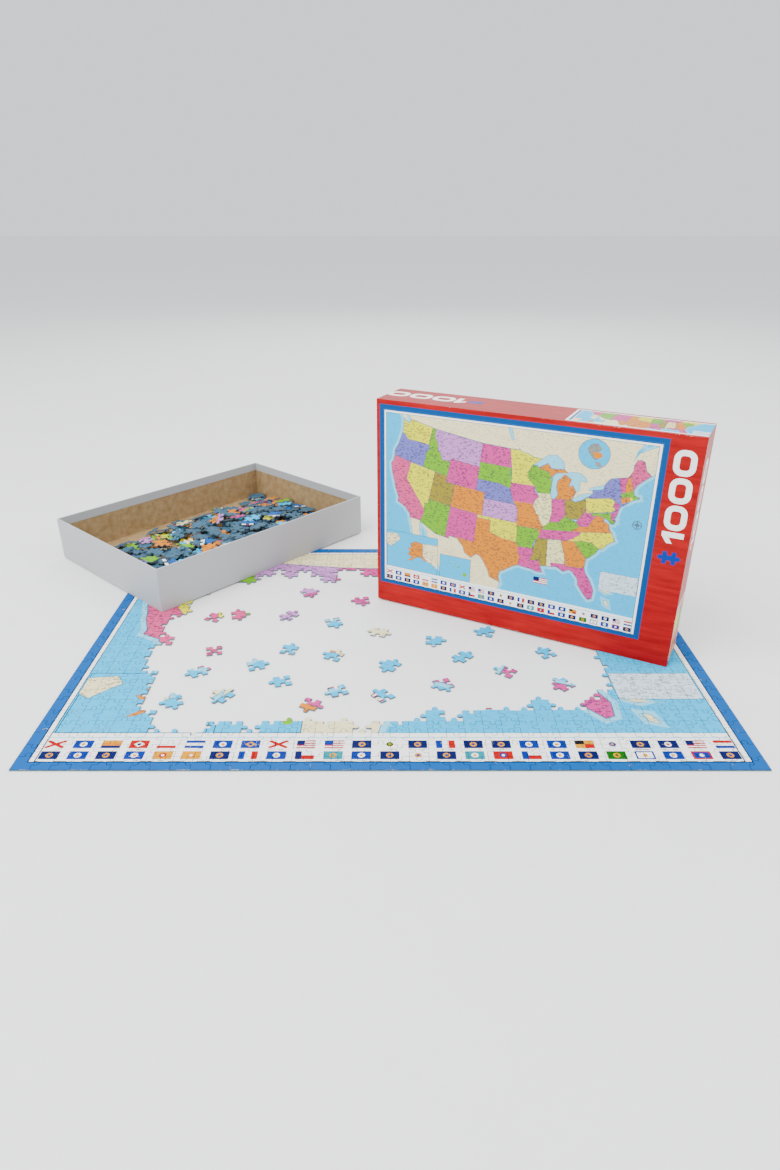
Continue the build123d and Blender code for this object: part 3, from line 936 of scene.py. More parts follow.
def plate_of(points: np.ndarray, tris: np.ndarray, face_up: bool) -> Plate:
    """Read the plane and the outline of a flat cut-out solid.

    Args:
        points: Its points in millimetres.
        tris: Its triangles.
        face_up: Whether its printed face is the upper one.

    Returns:
        The plate, with its printed face on its own upper side.
    """
    a, b, c = (points[tris[:, k]] for k in range(3))
    normals = np.cross(b - a, c - a)
    areas = np.linalg.norm(normals, axis=1)
    spread = (normals.T / np.maximum(areas, TINY)) @ normals
    up = np.linalg.eigh(spread)[1][:, 2]
    if (up[2] > 0) != face_up:
        up = -up
    heights = points @ up
    low, high = heights.min(), heights.max()
    ahead = np.array([1.0, 0.0, 0.0]) - up[0] * up
    ahead /= np.linalg.norm(ahead)
    aside = np.cross(up, ahead)
    cap = tris[(heights[tris] > (low + high) / 2).all(axis=1)]
    sides = {(int(t[k]), int(t[(k + 1) % 3])) for t in cap for k in range(3)}
    following = {p: q for p, q in sides if (q, p) not in sides}
    loop = [next(iter(sorted(following)))]
    while following[loop[-1]] != loop[0]:
        loop.append(following[loop[-1]])
    flat = np.column_stack([points[loop] @ ahead, points[loop] @ aside])
    return Plate(thinned(flat, OUTLINE_STRAY), low * up, ahead, aside, up, high - low)


@dataclass(frozen=True)
class Seat:
    """How a plate's own plane lies on the finished picture: a shift and a turn."""

    pivot: complex
    home: complex
    turn: float

    def to_sheet(self, place: complex) -> complex:
        """Place on the sheet of a place on the plate."""
        return (place - self.pivot) * complex(math.cos(self.turn), -math.sin(self.turn)) + self.home

    def to_plate(self, place: complex) -> complex:
        """Place on the plate of a place on the sheet."""
        return (place - self.home) * complex(math.cos(self.turn), math.sin(self.turn)) + self.pivot


@dataclass
class PieceMaker:
    """Makes a printed puzzle piece on a plate: face, pressed rim darkened as painted shade, cut edge and
    back.
    """

    cutter: PrintCutter
    rim: float = 0.24
    # Share of the print's ink kept on the rim chamfer: a darker colour as painted shade along the seams
    # between pieces.
    rim_painted_shade: float = 0.42

    def add(self, draft: MeshDraft, plate: Plate, seat: Seat) -> None:
        """Add one piece to a mesh in the making.

        Args:
            draft: Mesh to add it to.
            plate: The frame's solid.
            seat: How the plate lies on the finished picture.
        """
        placed = [seat.to_sheet(complex(x, y)) for x, y in plate.outline]
        outline = [(p.real, p.imag) for p in placed]
        inner = grown(outline, -self.rim)
        points, tris, regions, places = self.cutter.cut(inner)
        sides = {}
        for tri, region in zip(tris, regions):
            for k in range(3):
                sides[tri[k], tri[(k + 1) % 3]] = region
        following = {a: b for a, b in sides if (b, a) not in sides}
        ring = self.walk(following, places[0])
        outer = self.outer_ring(ring, points, places, inner, outline)
        if outer is None:
            LOG.warning("a piece was left without its print lines")
            return

        def stand(place: Point, height: float) -> int:
            """Vertex at a place of the sheet and a height on the plate."""
            spot = seat.to_plate(complex(*place))
            return draft.vertex(plate.lift(spot.real, spot.imag, height), place)

        used = sorted({corner for tri in tris for corner in tri})
        top = {corner: stand(points[corner], plate.thickness) for corner in used}
        shoulder = [stand(place, plate.thickness - self.rim) for place in outer]
        foot = [stand(place, 0.0) for place in outer]
        for tri, region in zip(tris, regions):
            marks = (region.labels, region.streaks, 0)
            draft.face([top[c] for c in tri], Finish.PRINT, INKS[region.ink], marks)
        for k, corner in enumerate(ring):
            after = (k + 1) % len(ring)
            region = sides[corner, ring[after]]
            # The rim takes the print's ink darkened, as painted shade in the seam. The cut edge gets the same
            # colour, but its board finish doesn't read it.
            shade = tuple(self.rim_painted_shade * share for share in INKS[region.ink])
            rim = (shoulder[k], shoulder[after], top[ring[after]], top[corner])
            draft.face(rim, Finish.PRINT, shade, (0, region.streaks, 1))
            draft.face((foot[k], foot[after], shoulder[after], shoulder[k]), Finish.EDGE, shade, (0, 0, 0))
        draft.face(foot[::-1], Finish.BACK, INKS["paper"], (0, 0, 0))

    @staticmethod
    def walk(following: dict[int, int], start: int) -> list[int]:
        """Follow the cap's border once round.

        Args:
            following: The corner that comes after each corner of the border.
            start: Corner to start from.

        Returns:
            The corners in order.
        """
        ring = [start]
        while following.get(ring[-1], start) != start and len(ring) <= len(following):
            ring.append(following[ring[-1]])
        return ring

    @staticmethod
    def outer_ring(ring: Sequence[int], points: Sequence[Point], places: Sequence[int],
                   inner: Sequence[Point], outline: Sequence[Point]) -> list[Point] | None:
        """Outline places that belong to the corners of the cap's border.

        Args:
            ring: Corners of the cap's border, in order.
            points: Places of all corners.
            places: Corner that stands for each point of the inner outline.
            inner: Inner outline.
            outline: Outer outline, point by point as the inner one.

        Returns:
            One place for each corner of the ring, or None if the border isn't whole.
        """
        order = {corner: k for k, corner in enumerate(places)}
        if not set(order) <= set(ring):
            return None
        result, last = [], 0
        for corner in ring:
            if corner in order:
                last = order[corner]
                result.append(outline[last])
                continue
            after = (last + 1) % len(inner)
            span = math.dist(inner[last], inner[after])
            share = min(math.dist(points[corner], inner[last]) / max(span, TINY), 1.0)
            result.append(tuple(a + share * (b - a) for a, b in zip(outline[last], outline[after])))
        return result


# ---------------------------------------------------------------------------
# Finishes
# ---------------------------------------------------------------------------
class Network:
    """Adds and joins shader nodes in one node tree."""

    def __init__(self, tree: bpy.types.NodeTree) -> None:
        """Start from a tree with no nodes."""
        self.tree = tree
        self.tree.nodes.clear()

    def add(
        self, kind: str, inputs: dict[str | int, object] | None = None, **settings: object,
    ) -> bpy.types.Node:
        """Add a node.

        Args:
            kind: Node type without its common prefix.
            inputs: Values or sockets by input name or number.
            settings: Properties of the node.

        Returns:
            The node.
        """
        node = self.tree.nodes.new("ShaderNode" + kind)
        for name, value in settings.items():
            setattr(node, name, value)
        for key, value in (inputs or {}).items():
            if isinstance(value, Socket):
                self.tree.links.new(value, node.inputs[key])
            else:
                node.inputs[key].default_value = value
        return node

    def value(self, operation: str, *terms: object) -> Socket:
        """Result of a Math node on one to three terms."""
        return self.add("Math", dict(enumerate(terms)), operation=operation).outputs[0]

    def blend(self, share: object, low: object, high: object) -> Socket:
        """Colour between low and high."""
        node = self.add("Mix", {0: share, 6: low, 7: high}, data_type="RGBA", clamp_factor=True)
        return node.outputs[2]

    def band(self, value: object, start: float, end: float) -> Socket:
        """Value stretched so that start becomes 0 and end becomes 1, and clipped there."""
        node = self.add("MapRange", {"Value": value, "From Min": start, "From Max": end})
        return node.outputs[0]

    def close(self, colour: Socket, rough: Socket, grain: Socket, finish: PrintedFinish | BoardFinish,
              extra: dict[str, float]) -> None:
        """Close a material with a bumped surface.

        Args:
            colour: Base colour.
            rough: Roughness.
            grain: Height of the surface's grain.
            finish: Finish that says how strong and how deep the grain is.
            extra: Plain values by socket name.
        """
        relief = {"Height": grain, "Strength": finish.bump, "Distance": finish.depth}
        bump = self.add("Bump", relief).outputs[0]
        inputs = {"Base Color": colour, "Roughness": rough, "Normal": bump, **extra}
        surface = self.add("BsdfPrincipled", inputs).outputs[0]
        self.add("OutputMaterial", {"Surface": surface}, is_active_output=True)

    def noise(self, place: object, scale: float, detail: float = 3.0, rough: float = 0.6) -> Socket:
        """Share of a noise pattern."""
        inputs = {"Vector": place, "Scale": scale, "Detail": detail, "Roughness": rough}
        return self.add("TexNoise", inputs).outputs[0]

    def stretched(self, place: object, scale: Triple, turn: float = 0.0) -> Socket:
        """Place scaled on each axis and turned about the third."""
        inputs = {"Vector": place, "Scale": scale, "Rotation": (0.0, 0.0, turn)}
        return self.add("Mapping", inputs).outputs[0]


def effect(name: str, inputs: dict[str, str], outputs: dict[str, str],
           fill: Callable[[Network, Sockets], Sockets],
           ) -> bpy.types.NodeTree:
    """Build a shared effect as a node group.

    Args:
        name: Name of the group.
        inputs: Socket kind of each input.
        outputs: Socket kind of each output.
        fill: Function that adds the nodes and returns the output sockets by name.

    Returns:
        The group.
    """
    group = bpy.data.node_groups.new(name, "ShaderNodeTree")
    network = Network(group)
    for label, kind in inputs.items():
        group.interface.new_socket(label, in_out="INPUT", socket_type="NodeSocket" + kind)
    for label, kind in outputs.items():
        group.interface.new_socket(label, in_out="OUTPUT", socket_type="NodeSocket" + kind)
    start = group.nodes.new("NodeGroupInput")
    end = group.nodes.new("NodeGroupOutput")
    for label, socket in fill(network, {label: start.outputs[label] for label in inputs}).items():
        group.links.new(socket, end.inputs[label])
    return group


def label_specks(network: Network, given: Sockets) -> Sockets:
    """Small dark marks in short rows, as the names on a map look from afar.

    Args:
        network: Network of the group.
        given: Input sockets by name.

    Returns:
        The output sockets by name.
    """
    place = given["Place"]
    rows = network.stretched(place, (12.5, 30.0, 1.0))
    cells = network.add("TexVoronoi", {"Vector": rows, "Scale": 1.0, "Randomness": 0.9})
    words = network.value("LESS_THAN", cells.outputs["Distance"], 0.40)
    letters = network.noise(network.stretched(place, (150.0, 50.0, 1.0)), 1.0, 2.0)
    broken = network.band(letters, 0.40, 0.52)
    some = network.band(network.noise(place, 5.0, 2.0), 0.32, 0.46)
    mask = network.value("MULTIPLY", network.value("MULTIPLY", words, broken), some)
    return {"Mask": network.value("MULTIPLY", mask, given["Density"])}


def paper_grain(network: Network, given: Sockets) -> Sockets:
    """Fibres and blotches of paper or board.

    Args:
        network: Network of the group.
        given: Input sockets by name.

    Returns:
        The output sockets by name.
    """
    place, scale = given["Place"], given["Scale"]
    flat = network.add("VectorMath", {0: place, "Scale": scale}, operation="SCALE").outputs[0]
    fibres = network.noise(network.stretched(flat, (1.0, 3.5, 1.0), 0.5), 3.0, 4.0, 0.7)
    crossed = network.noise(network.stretched(flat, (3.0, 1.0, 1.0), -0.4), 3.0, 4.0, 0.7)
    blotches = network.noise(flat, 0.35, 3.0)
    height = network.value("MULTIPLY_ADD", fibres, 0.5, network.value("MULTIPLY", crossed, 0.5))
    tone = network.value("MULTIPLY_ADD", blotches, 0.6, network.value("MULTIPLY", height, 0.4))
    flecks = network.band(network.noise(flat, 6.0, 2.0, 0.5), 0.66, 0.72)
    return {"Tone": tone, "Height": height, "Flecks": flecks}


def brushed_streaks(network: Network, given: Sockets) -> Sockets:
    """Fine slanting light and dark streaks.

    Args:
        network: Network of the group.
        given: Input sockets by name.

    Returns:
        The output sockets by name.
    """
    fine = network.noise(network.stretched(given["Place"], (2.6, 44.0, 1.0), 0.62), 1.0, 4.0, 0.65)
    broad = network.noise(network.stretched(given["Place"], (0.8, 9.0, 1.0), 0.62), 1.0, 2.0)
    both = network.value("MULTIPLY_ADD", broad, 0.6, network.value("MULTIPLY", fine, 0.4))
    return {"Tone": network.band(both, 0.34, 0.66)}


def corner_wear(network: Network, given: Sockets) -> Sockets:
    """Patches along folded edges where the ink has rubbed off.

    Args:
        network: Network of the group.
        given: Input sockets by name.

    Returns:
        The output sockets by name.
    """
    fine = network.noise(given["Place"], 420.0, 4.0, 0.7)
    broad = network.noise(given["Place"], 45.0, 2.0)
    rub = network.value("MULTIPLY_ADD", broad, 0.55, network.value("MULTIPLY", fine, 0.45))
    return {"Mask": network.value("MULTIPLY", network.band(rub, 0.56, 0.70), given["Edge"])}


class Effects:
    """The shared effects, each built when it is first used."""

    RECIPES = {
        "label_specks": ({"Place": "Vector", "Density": "Float"}, {"Mask": "Float"}, label_specks),
        "paper_grain": ({"Place": "Vector", "Scale": "Float"},
                        {"Tone": "Float", "Height": "Float", "Flecks": "Float"}, paper_grain),
        "brushed_streaks": ({"Place": "Vector"}, {"Tone": "Float"}, brushed_streaks),
        "corner_wear": ({"Place": "Vector", "Edge": "Float"}, {"Mask": "Float"}, corner_wear),
    }

    @classmethod
    def place(cls, network: Network, name: str, inputs: dict[str, object]) -> bpy.types.Node:
        """Put an effect into a material.

        Args:
            network: Network of the material.
            name: Name of the effect.
            inputs: Values or sockets by input name.

        Returns:
            The group node.
        """
        tree = bpy.data.node_groups.get(name) or effect(name, *cls.RECIPES[name])
        node = network.tree.nodes.new("ShaderNodeGroup")
        node.node_tree = tree
        for key, value in inputs.items():
            if isinstance(value, Socket):
                network.tree.links.new(value, node.inputs[key])
            else:
                node.inputs[key].default_value = value
        return node


def four(colour: Colour) -> tuple[float, ...]:
    """Colour with full cover."""
    return (*colour, 1.0)


def fresh_material(name: str) -> tuple[bpy.types.Material, Network]:
    """Start a material.

    Args:
        name: Name of the material.

    Returns:
        The material and its empty network.
    """
    made = bpy.data.materials.new(name)
    made.use_nodes = True
    return made, Network(made.node_tree)


@dataclass(frozen=True)
class PrintedFinish:
    """Glossy print on paper: inks from the mesh, specks, streaks and rubbed edges."""

    name: str
    roughness: float
    gloss: float
    bare: Colour = linear(232, 224, 212)
    speck: Colour = linear(46, 42, 66)
    hill: Colour = (0.12, 0.10, 0.10)
    dark_streak: Colour = linear(112, 2, 12)
    light_streak: Colour = linear(214, 30, 36)
    speck_strength: float = 0.85
    streak_strength: float = 0.36
    relief: float = 0.10
    grain_scale: float = 260.0
    bump: float = 0.10
    depth: float = 0.00012
    coat_roughness: float = 0.22
    specular: float = 0.08

    def material(self) -> bpy.types.Material:
        """Build the material.

        Returns:
            The material.
        """
        made, net = fresh_material(self.name)
        sheet = net.add("UVMap", uv_map="sheet").outputs[0]
        solid = net.add("TexCoord").outputs["Object"]
        inks = net.add("Attribute", attribute_name="ink").outputs["Color"]
        marks = net.add("SeparateXYZ", {0: net.add("Attribute", attribute_name="marks").outputs["Vector"]})
        labels, streaks, edge = marks.outputs
        hills = net.band(net.noise(sheet, 7.0, 5.0, 0.62), 0.3, 0.7)
        shade = net.value("MULTIPLY", net.value("MULTIPLY", hills, labels), self.relief)
        colour = net.blend(shade, inks, four(self.hill))
        specks = Effects.place(net, "label_specks", {"Place": sheet, "Density": labels}).outputs["Mask"]
        colour = net.blend(net.value("MULTIPLY", specks, self.speck_strength), colour, four(self.speck))
        tone = Effects.place(net, "brushed_streaks", {"Place": sheet}).outputs["Tone"]
        shares = (net.value("SUBTRACT", 1.0, tone), tone)
        for share, streak in zip(shares, (self.dark_streak, self.light_streak)):
            cover = net.value("MULTIPLY", net.value("MULTIPLY", share, streaks), self.streak_strength)
            colour = net.blend(cover, colour, four(streak))
        wear = Effects.place(net, "corner_wear", {"Place": solid, "Edge": edge}).outputs["Mask"]
        colour = net.blend(wear, colour, four(self.bare))
        grain = Effects.place(net, "paper_grain", {"Place": solid, "Scale": self.grain_scale})
        rough = net.value("MULTIPLY_ADD", grain.outputs["Tone"], 0.18, self.roughness - 0.09)
        rough = net.value("MULTIPLY_ADD", wear, 0.3, rough)
        net.close(colour, rough, grain.outputs["Height"], self, {
            "Coat Weight": self.gloss, "Coat Roughness": self.coat_roughness,
            "Specular IOR Level": self.specular,
        })
        return made


@dataclass(frozen=True)
class BoardFinish:
    """Bare paper or board: two tones of fibre, flecks and a soft uneven surface."""

    name: str
    light: Colour
    dark: Colour
    fleck: Colour
    roughness: float = 0.86
    scale: float = 320.0
    fleck_share: float = 0.35
    bump: float = 0.35
    depth: float = 0.00018
    specular: float = 0.3

    def material(self) -> bpy.types.Material:
        """Build the material.

        Returns:
            The material.
        """
        made, net = fresh_material(self.name)
        solid = net.add("TexCoord").outputs["Object"]
        grain = Effects.place(net, "paper_grain", {"Place": solid, "Scale": self.scale})
        tone = net.band(grain.outputs["Tone"], 0.36, 0.64)
        colour = net.blend(tone, four(self.dark), four(self.light))
        flecks = net.value("MULTIPLY", grain.outputs["Flecks"], self.fleck_share)
        colour = net.blend(flecks, colour, four(self.fleck))
        rough = net.value("MULTIPLY_ADD", grain.outputs["Height"], 0.14, self.roughness - 0.07)
        net.close(colour, rough, grain.outputs["Height"], self, {"Specular IOR Level": self.specular})
        return made


PIECE_PRINT = PrintedFinish("piece_print", roughness=0.5, gloss=0.0)
CUT_EDGE = BoardFinish("cut_edge", linear(98, 122, 134), linear(70, 92, 106), linear(52, 62, 70), scale=700.0)
SLATE_BACK = BoardFinish("slate_back", linear(62, 102, 126), linear(42, 78, 100), linear(116, 152, 170),
                         roughness=0.72, fleck_share=0.25)
LID_PRINT = PrintedFinish("lid_print", roughness=0.36, gloss=0.08, bump=0.06)
TRAY_PRINT = PrintedFinish("tray_print", roughness=0.5, gloss=0.1, speck_strength=0.0, bump=0.14)
KRAFT_BOARD = BoardFinish("kraft_board", linear(170, 143, 102), linear(138, 110, 72), linear(88, 68, 42),
                          bump=0.5)
TAPE_PAPER = BoardFinish("tape_paper", linear(214, 204, 184), linear(190, 178, 154), linear(150, 136, 112))
FLOOR_PAPER = BoardFinish("floor_paper", linear(246, 246, 246), linear(243, 243, 243), linear(240, 240, 240),
                          roughness=0.8, scale=60.0, fleck_share=0.1, bump=0.02)


# ---------------------------------------------------------------------------
# The puzzle's pieces
# ---------------------------------------------------------------------------
# Loose pieces that carry the print of another cell than their own, by column and row.
PRINT_CELLS: dict[Cell, Cell] = {
    (16, 19): (12, 18),
    (12, 22): (13, 24),
    (18, 6): (28, 4),
    (28, 9): (28, 7),
    (29, 8): (29, 6),
    (8, 5): (6, 8),
    (10, 7): (3, 12),
}


@dataclass
class PuzzlePieces:
    """All pieces of the puzzle: joined, loose and heaped."""

    nodes: dict[str, bpy.types.Object]
    bodies: dict[str, Sequence[str]]
    columns: int = 38
    rows: int = 27
    backs_up_share: float = 0.66
    border_every: int = 7
    border_first: int = 2
    seed: int = 4
    sheet: MapSheet = field(default_factory=MapSheet)

    def __post_init__(self) -> None:
        """Find the sheet's place in the frame and prepare the print."""
        low, high = (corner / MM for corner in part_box("corner_pieces"))
        self.origin = complex(low.x, low.y)
        self.pitch = complex((high.x - low.x) / self.columns, (high.y - low.y) / self.rows)
        self.maker = PieceMaker(PrintCutter(self.sheet.regions()))
        self.materials = [finish.material() for finish in (PIECE_PRINT, CUT_EDGE, SLATE_BACK)]
        self.joined: set[Cell] = set()

    def body_of(self, node: str) -> str:
        """Name of the body that carries a node."""
        return next(body for body, members in self.bodies.items() if node in members)

    def middle(self, cell: Cell) -> complex:
        """Middle of a cell on the sheet."""
        return complex((cell[0] + 0.5) * self.pitch.real, (cell[1] + 0.5) * self.pitch.imag)

    def finish_node(self, node: str, draft: MeshDraft) -> None:
        """Turn a draft into the piece that stands for a node.

        Args:
            node: Name of the frame's node.
            draft: Mesh that replaces it.
        """
        made = draft.build(node + "_printed", self.materials)
        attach(made, self.body_of(node))
        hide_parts(node)
        LOG.info("%s: %d faces", made.name, len(made.data.polygons))

    def build_joined(self) -> None:
        """Print the joined pieces, each with the part of the picture where it lies."""
        for node in sorted(n for n in self.nodes if n.endswith("_pieces")):
            draft = MeshDraft()
            for points, tris in split_solids(self.nodes[node].data):
                plate = plate_of(points, tris, True)
                centre = complex(*plate.outline.mean(axis=0)) - self.origin
                self.joined.add((int(centre.real // self.pitch.real), int(centre.imag // self.pitch.imag)))
                self.maker.add(draft, plate, Seat(self.origin, 0j, 0.0))
            self.finish_node(node, draft)

    def build_loose(self) -> None:
        """Print the loose pieces with the part of the picture where each belongs."""
        for node in sorted(n for n in self.nodes if n.startswith("loose_piece_")):
            column, row = (int(part[1:]) for part in node.split("_")[2:4])
            draft = MeshDraft()
            for points, tris in split_solids(self.nodes[node].data):
                cell = PRINT_CELLS.get((column, row), (column, row))
                self.add_apart(draft, plate_of(points, tris, True), cell)
            self.joined.add((column, row))
            self.finish_node(node, draft)

    def build_heap(self) -> None:
        """Print the heaped pieces, most of them with their backs up, and some of the border on top."""
        dice = random.Random(self.seed)
        cells = [(c, r) for c in range(self.columns) for r in range(self.rows) if (c, r) not in self.joined]
        border = [cell for cell in cells if self.on_border(cell)]
        dice.shuffle(cells)
        layers = sorted(n for n in self.nodes if n.startswith("heap_layer_"))
        for node in layers:
            draft = MeshDraft()
            for count, (points, tris) in enumerate(split_solids(self.nodes[node].data)):
                face_up = dice.random() > self.backs_up_share
                cell = cells.pop()
                if node == layers[-1] and border and count % self.border_every == self.border_first:
                    face_up, cell = True, border.pop()
                self.add_apart(draft, plate_of(points, tris, face_up), cell)
            self.finish_node(node, draft)

    def on_border(self, cell: Cell) -> bool:
        """Whether a cell lies along the sheet's edge."""
        return cell[0] in (0, self.columns - 1) or cell[1] in (0, self.rows - 1)

    def add_apart(self, draft: MeshDraft, plate: Plate, cell: Cell) -> None:
        """Add a piece that lies away from its place in the picture.

        Args:
            draft: Mesh to add it to.
            plate: The frame's solid.
            cell: Column and row of the print it carries.
        """
        pivot = complex(*(plate.outline.min(axis=0) + plate.outline.max(axis=0)) / 2)
        self.maker.add(draft, plate, Seat(pivot, self.middle(cell), plate.turn))


# ---------------------------------------------------------------------------
# The box
# ---------------------------------------------------------------------------
@dataclass
class Panel:
    """One flat outer face of a box half with its own print, in millimetres from a lower corner."""

    origin: Vector
    along: Vector
    upward: Vector
    regions: Sequence[Region]

    def flat(self, point: Vector) -> Point:
        """Place on the panel of a point in the row frame."""
        away = point / MM - self.origin
        return away.dot(self.along), away.dot(self.upward)

    def solid(self, place: Point) -> Vector:
        """Point in the shared frame, in millimetres, of a place on the panel."""
        return self.origin + place[0] * self.along + place[1] * self.upward


@dataclass
class BoxHalf:
    """A board box half wrapped in printed paper."""

    name: str
    body: str
    nodes: dict[str, bpy.types.Object]
    ground: str
    finish: PrintedFinish
    streaks: float = 0.0
    print_scale: float = 1.0
    fold_radius: float = 0.0004
    fold_segments: int = 3
    panel_area: float = 0.004
    merge_distance: float = 1e-6
    flat_angle: float = 1.0
    flat_share: float = 0.999
    fold_print: float = 800.0

    def dress_boards(self, kraft: bpy.types.Material, tape: bpy.types.Material) -> None:
        """Give the boards and corner stays their finishes.

        Args:
            kraft: Material of the boards.
            tape: Material of the corner stays.
        """
        for part in ("base_board", "long_wall_boards", "short_wall_boards", "corner_stays"):
            mesh = self.nodes[f"{self.name}_{part}"].data
            mesh.materials.clear()
            mesh.materials.append(tape if part == "corner_stays" else kraft)

    def folded_wrap(self) -> bpy.types.Object:
        """Copy the paper wrap, merge it and round its outer folds.

        Returns:
            The new object.
        """
        source = self.nodes[f"{self.name}_paper_wrap"]
        made = bpy.data.objects.new(f"{self.name}_folded", source.data.copy())
        bpy.context.scene.collection.objects.link(made)
        bpy.ops.object.select_all(action="DESELECT")
        bpy.context.view_layer.objects.active = made
        made.select_set(True)
        bpy.ops.object.mode_set(mode="EDIT")
        bpy.ops.mesh.select_all(action="SELECT")
        bpy.ops.mesh.remove_doubles(threshold=self.merge_distance)
        bpy.ops.mesh.dissolve_limited(angle_limit=math.radians(self.flat_angle))
        bpy.ops.mesh.select_all(action="DESELECT")
        bpy.ops.mesh.select_mode(type="EDGE")
        mesh = bmesh.from_edit_mesh(made.data)
        outer = {face.index for face in mesh.faces if self.is_outer(mesh, face)}
        for edge in mesh.edges:
            beside = [face.index in outer for face in edge.link_faces]
            edge.select_set(beside == [True, True])
        bmesh.update_edit_mesh(made.data)
        bpy.ops.mesh.bevel(offset=self.fold_radius, segments=self.fold_segments, affect="EDGES")
        bpy.ops.object.mode_set(mode="OBJECT")
        return made

    @staticmethod
    def is_outer(mesh: bmesh.types.BMesh, face: bmesh.types.BMFace) -> bool:
        """Whether no point of the mesh lies beyond the plane of a face."""
        level = face.normal.dot(face.verts[0].co)
        return all(face.normal.dot(vert.co) < level + PLANE_SLACK for vert in mesh.verts)

    def panels(self, faces: Sequence[bmesh.types.BMFace]) -> dict[int, Panel]:
        """Panels with their prints, by face number."""
        raise NotImplementedError

    def build_wrap(self) -> None:
        """Print the wrap: panels cut along their regions, folds rubbed, turn-in plain."""
        folded = self.folded_wrap()
        mesh = bmesh.new()
        mesh.from_mesh(folded.data)
        mesh.faces.ensure_lookup_table()
        mesh.normal_update()
        large = [f for f in mesh.faces if f.calc_area() > self.panel_area and self.is_outer(mesh, f)]
        panels = self.panels(large)
        draft = MeshDraft()
        numbers = {}
        for vert in mesh.verts:
            x, y, z = vert.co * self.fold_print
            numbers[vert.index] = draft.vertex(vert.co / MM, (x, z + y))
        for face in mesh.faces:
            if face.index in panels:
                self.add_panel(draft, face, panels[face.index])
                continue
            corners = [numbers[v.index] for v in face.verts]
            straight = max(abs(face.normal.dot(f.normal)) for f in large) > self.flat_share
            wear = 0.0 if straight else 1.0
            draft.face(corners, Finish.PRINT, INKS[self.ground], (0, self.streaks, wear))
        made = draft.build(f"{self.name}_printed_wrap", [self.finish.material()])
        mesh.free()
        bpy.data.objects.remove(folded)
        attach(made, self.body)
        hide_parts(f"{self.name}_paper_wrap")
        LOG.info("%s: %d faces", made.name, len(made.data.polygons))

    def add_panel(self, draft: MeshDraft, face: bmesh.types.BMFace, panel: Panel) -> None:
        """Cut a panel along its print and add it to the draft.

        Args:
            draft: Mesh to add it to.
            face: The wrap's face.
            panel: Its print.
        """
        outline = [panel.flat(vert.co) for vert in face.verts]
        points, tris, regions, _ = PrintCutter(panel.regions).cut(outline)
        known: dict[int, int] = {}
        for tri, region in zip(tris, regions):
            corners = []
            for corner in tri:
                if corner not in known:
                    spot = points[corner]
                    place = tuple(value * self.print_scale for value in spot)
                    known[corner] = draft.vertex(panel.solid(spot), place)
                corners.append(known[corner])
            draft.face(corners, Finish.PRINT, INKS[region.ink], (region.labels, region.streaks, 0))


def digit_outlines(height: float) -> list[list[Outline]]:
    """Wide round figures 1, 0, 0, 0 side by side.

    Args:
        height: Height of the figures.

    Returns:
        For each figure its filled outline and any hole in it.
    """
    stroke, width, gap, corner = 0.27 * height, 1.22 * height, 0.10 * height, 0.42 * height
    left, right = 0.30 * height, 0.30 * height + stroke
    one = ((left, 0), (right, 0), (right, height), (0.36 * height, height), (0, 0.74 * height),
           (0, 0.48 * height), (left, 0.68 * height))
    figures = [[one]]
    start = right + gap
    for _ in range(3):
        outer = rounded(start, 0, start + width, height, corner)
        figures.append([outer, grown(outer, -stroke)])
        start += width + gap
    return figures


def turned(outline: Sequence[Point], quarter_turns: int, x: float, y: float) -> Outline:
    """Outline turned anticlockwise by quarter turns about the origin and then moved."""
    spin = 1j ** quarter_turns
    return tuple(((spin * complex(*p)).real + x, (spin * complex(*p)).imag + y) for p in outline)


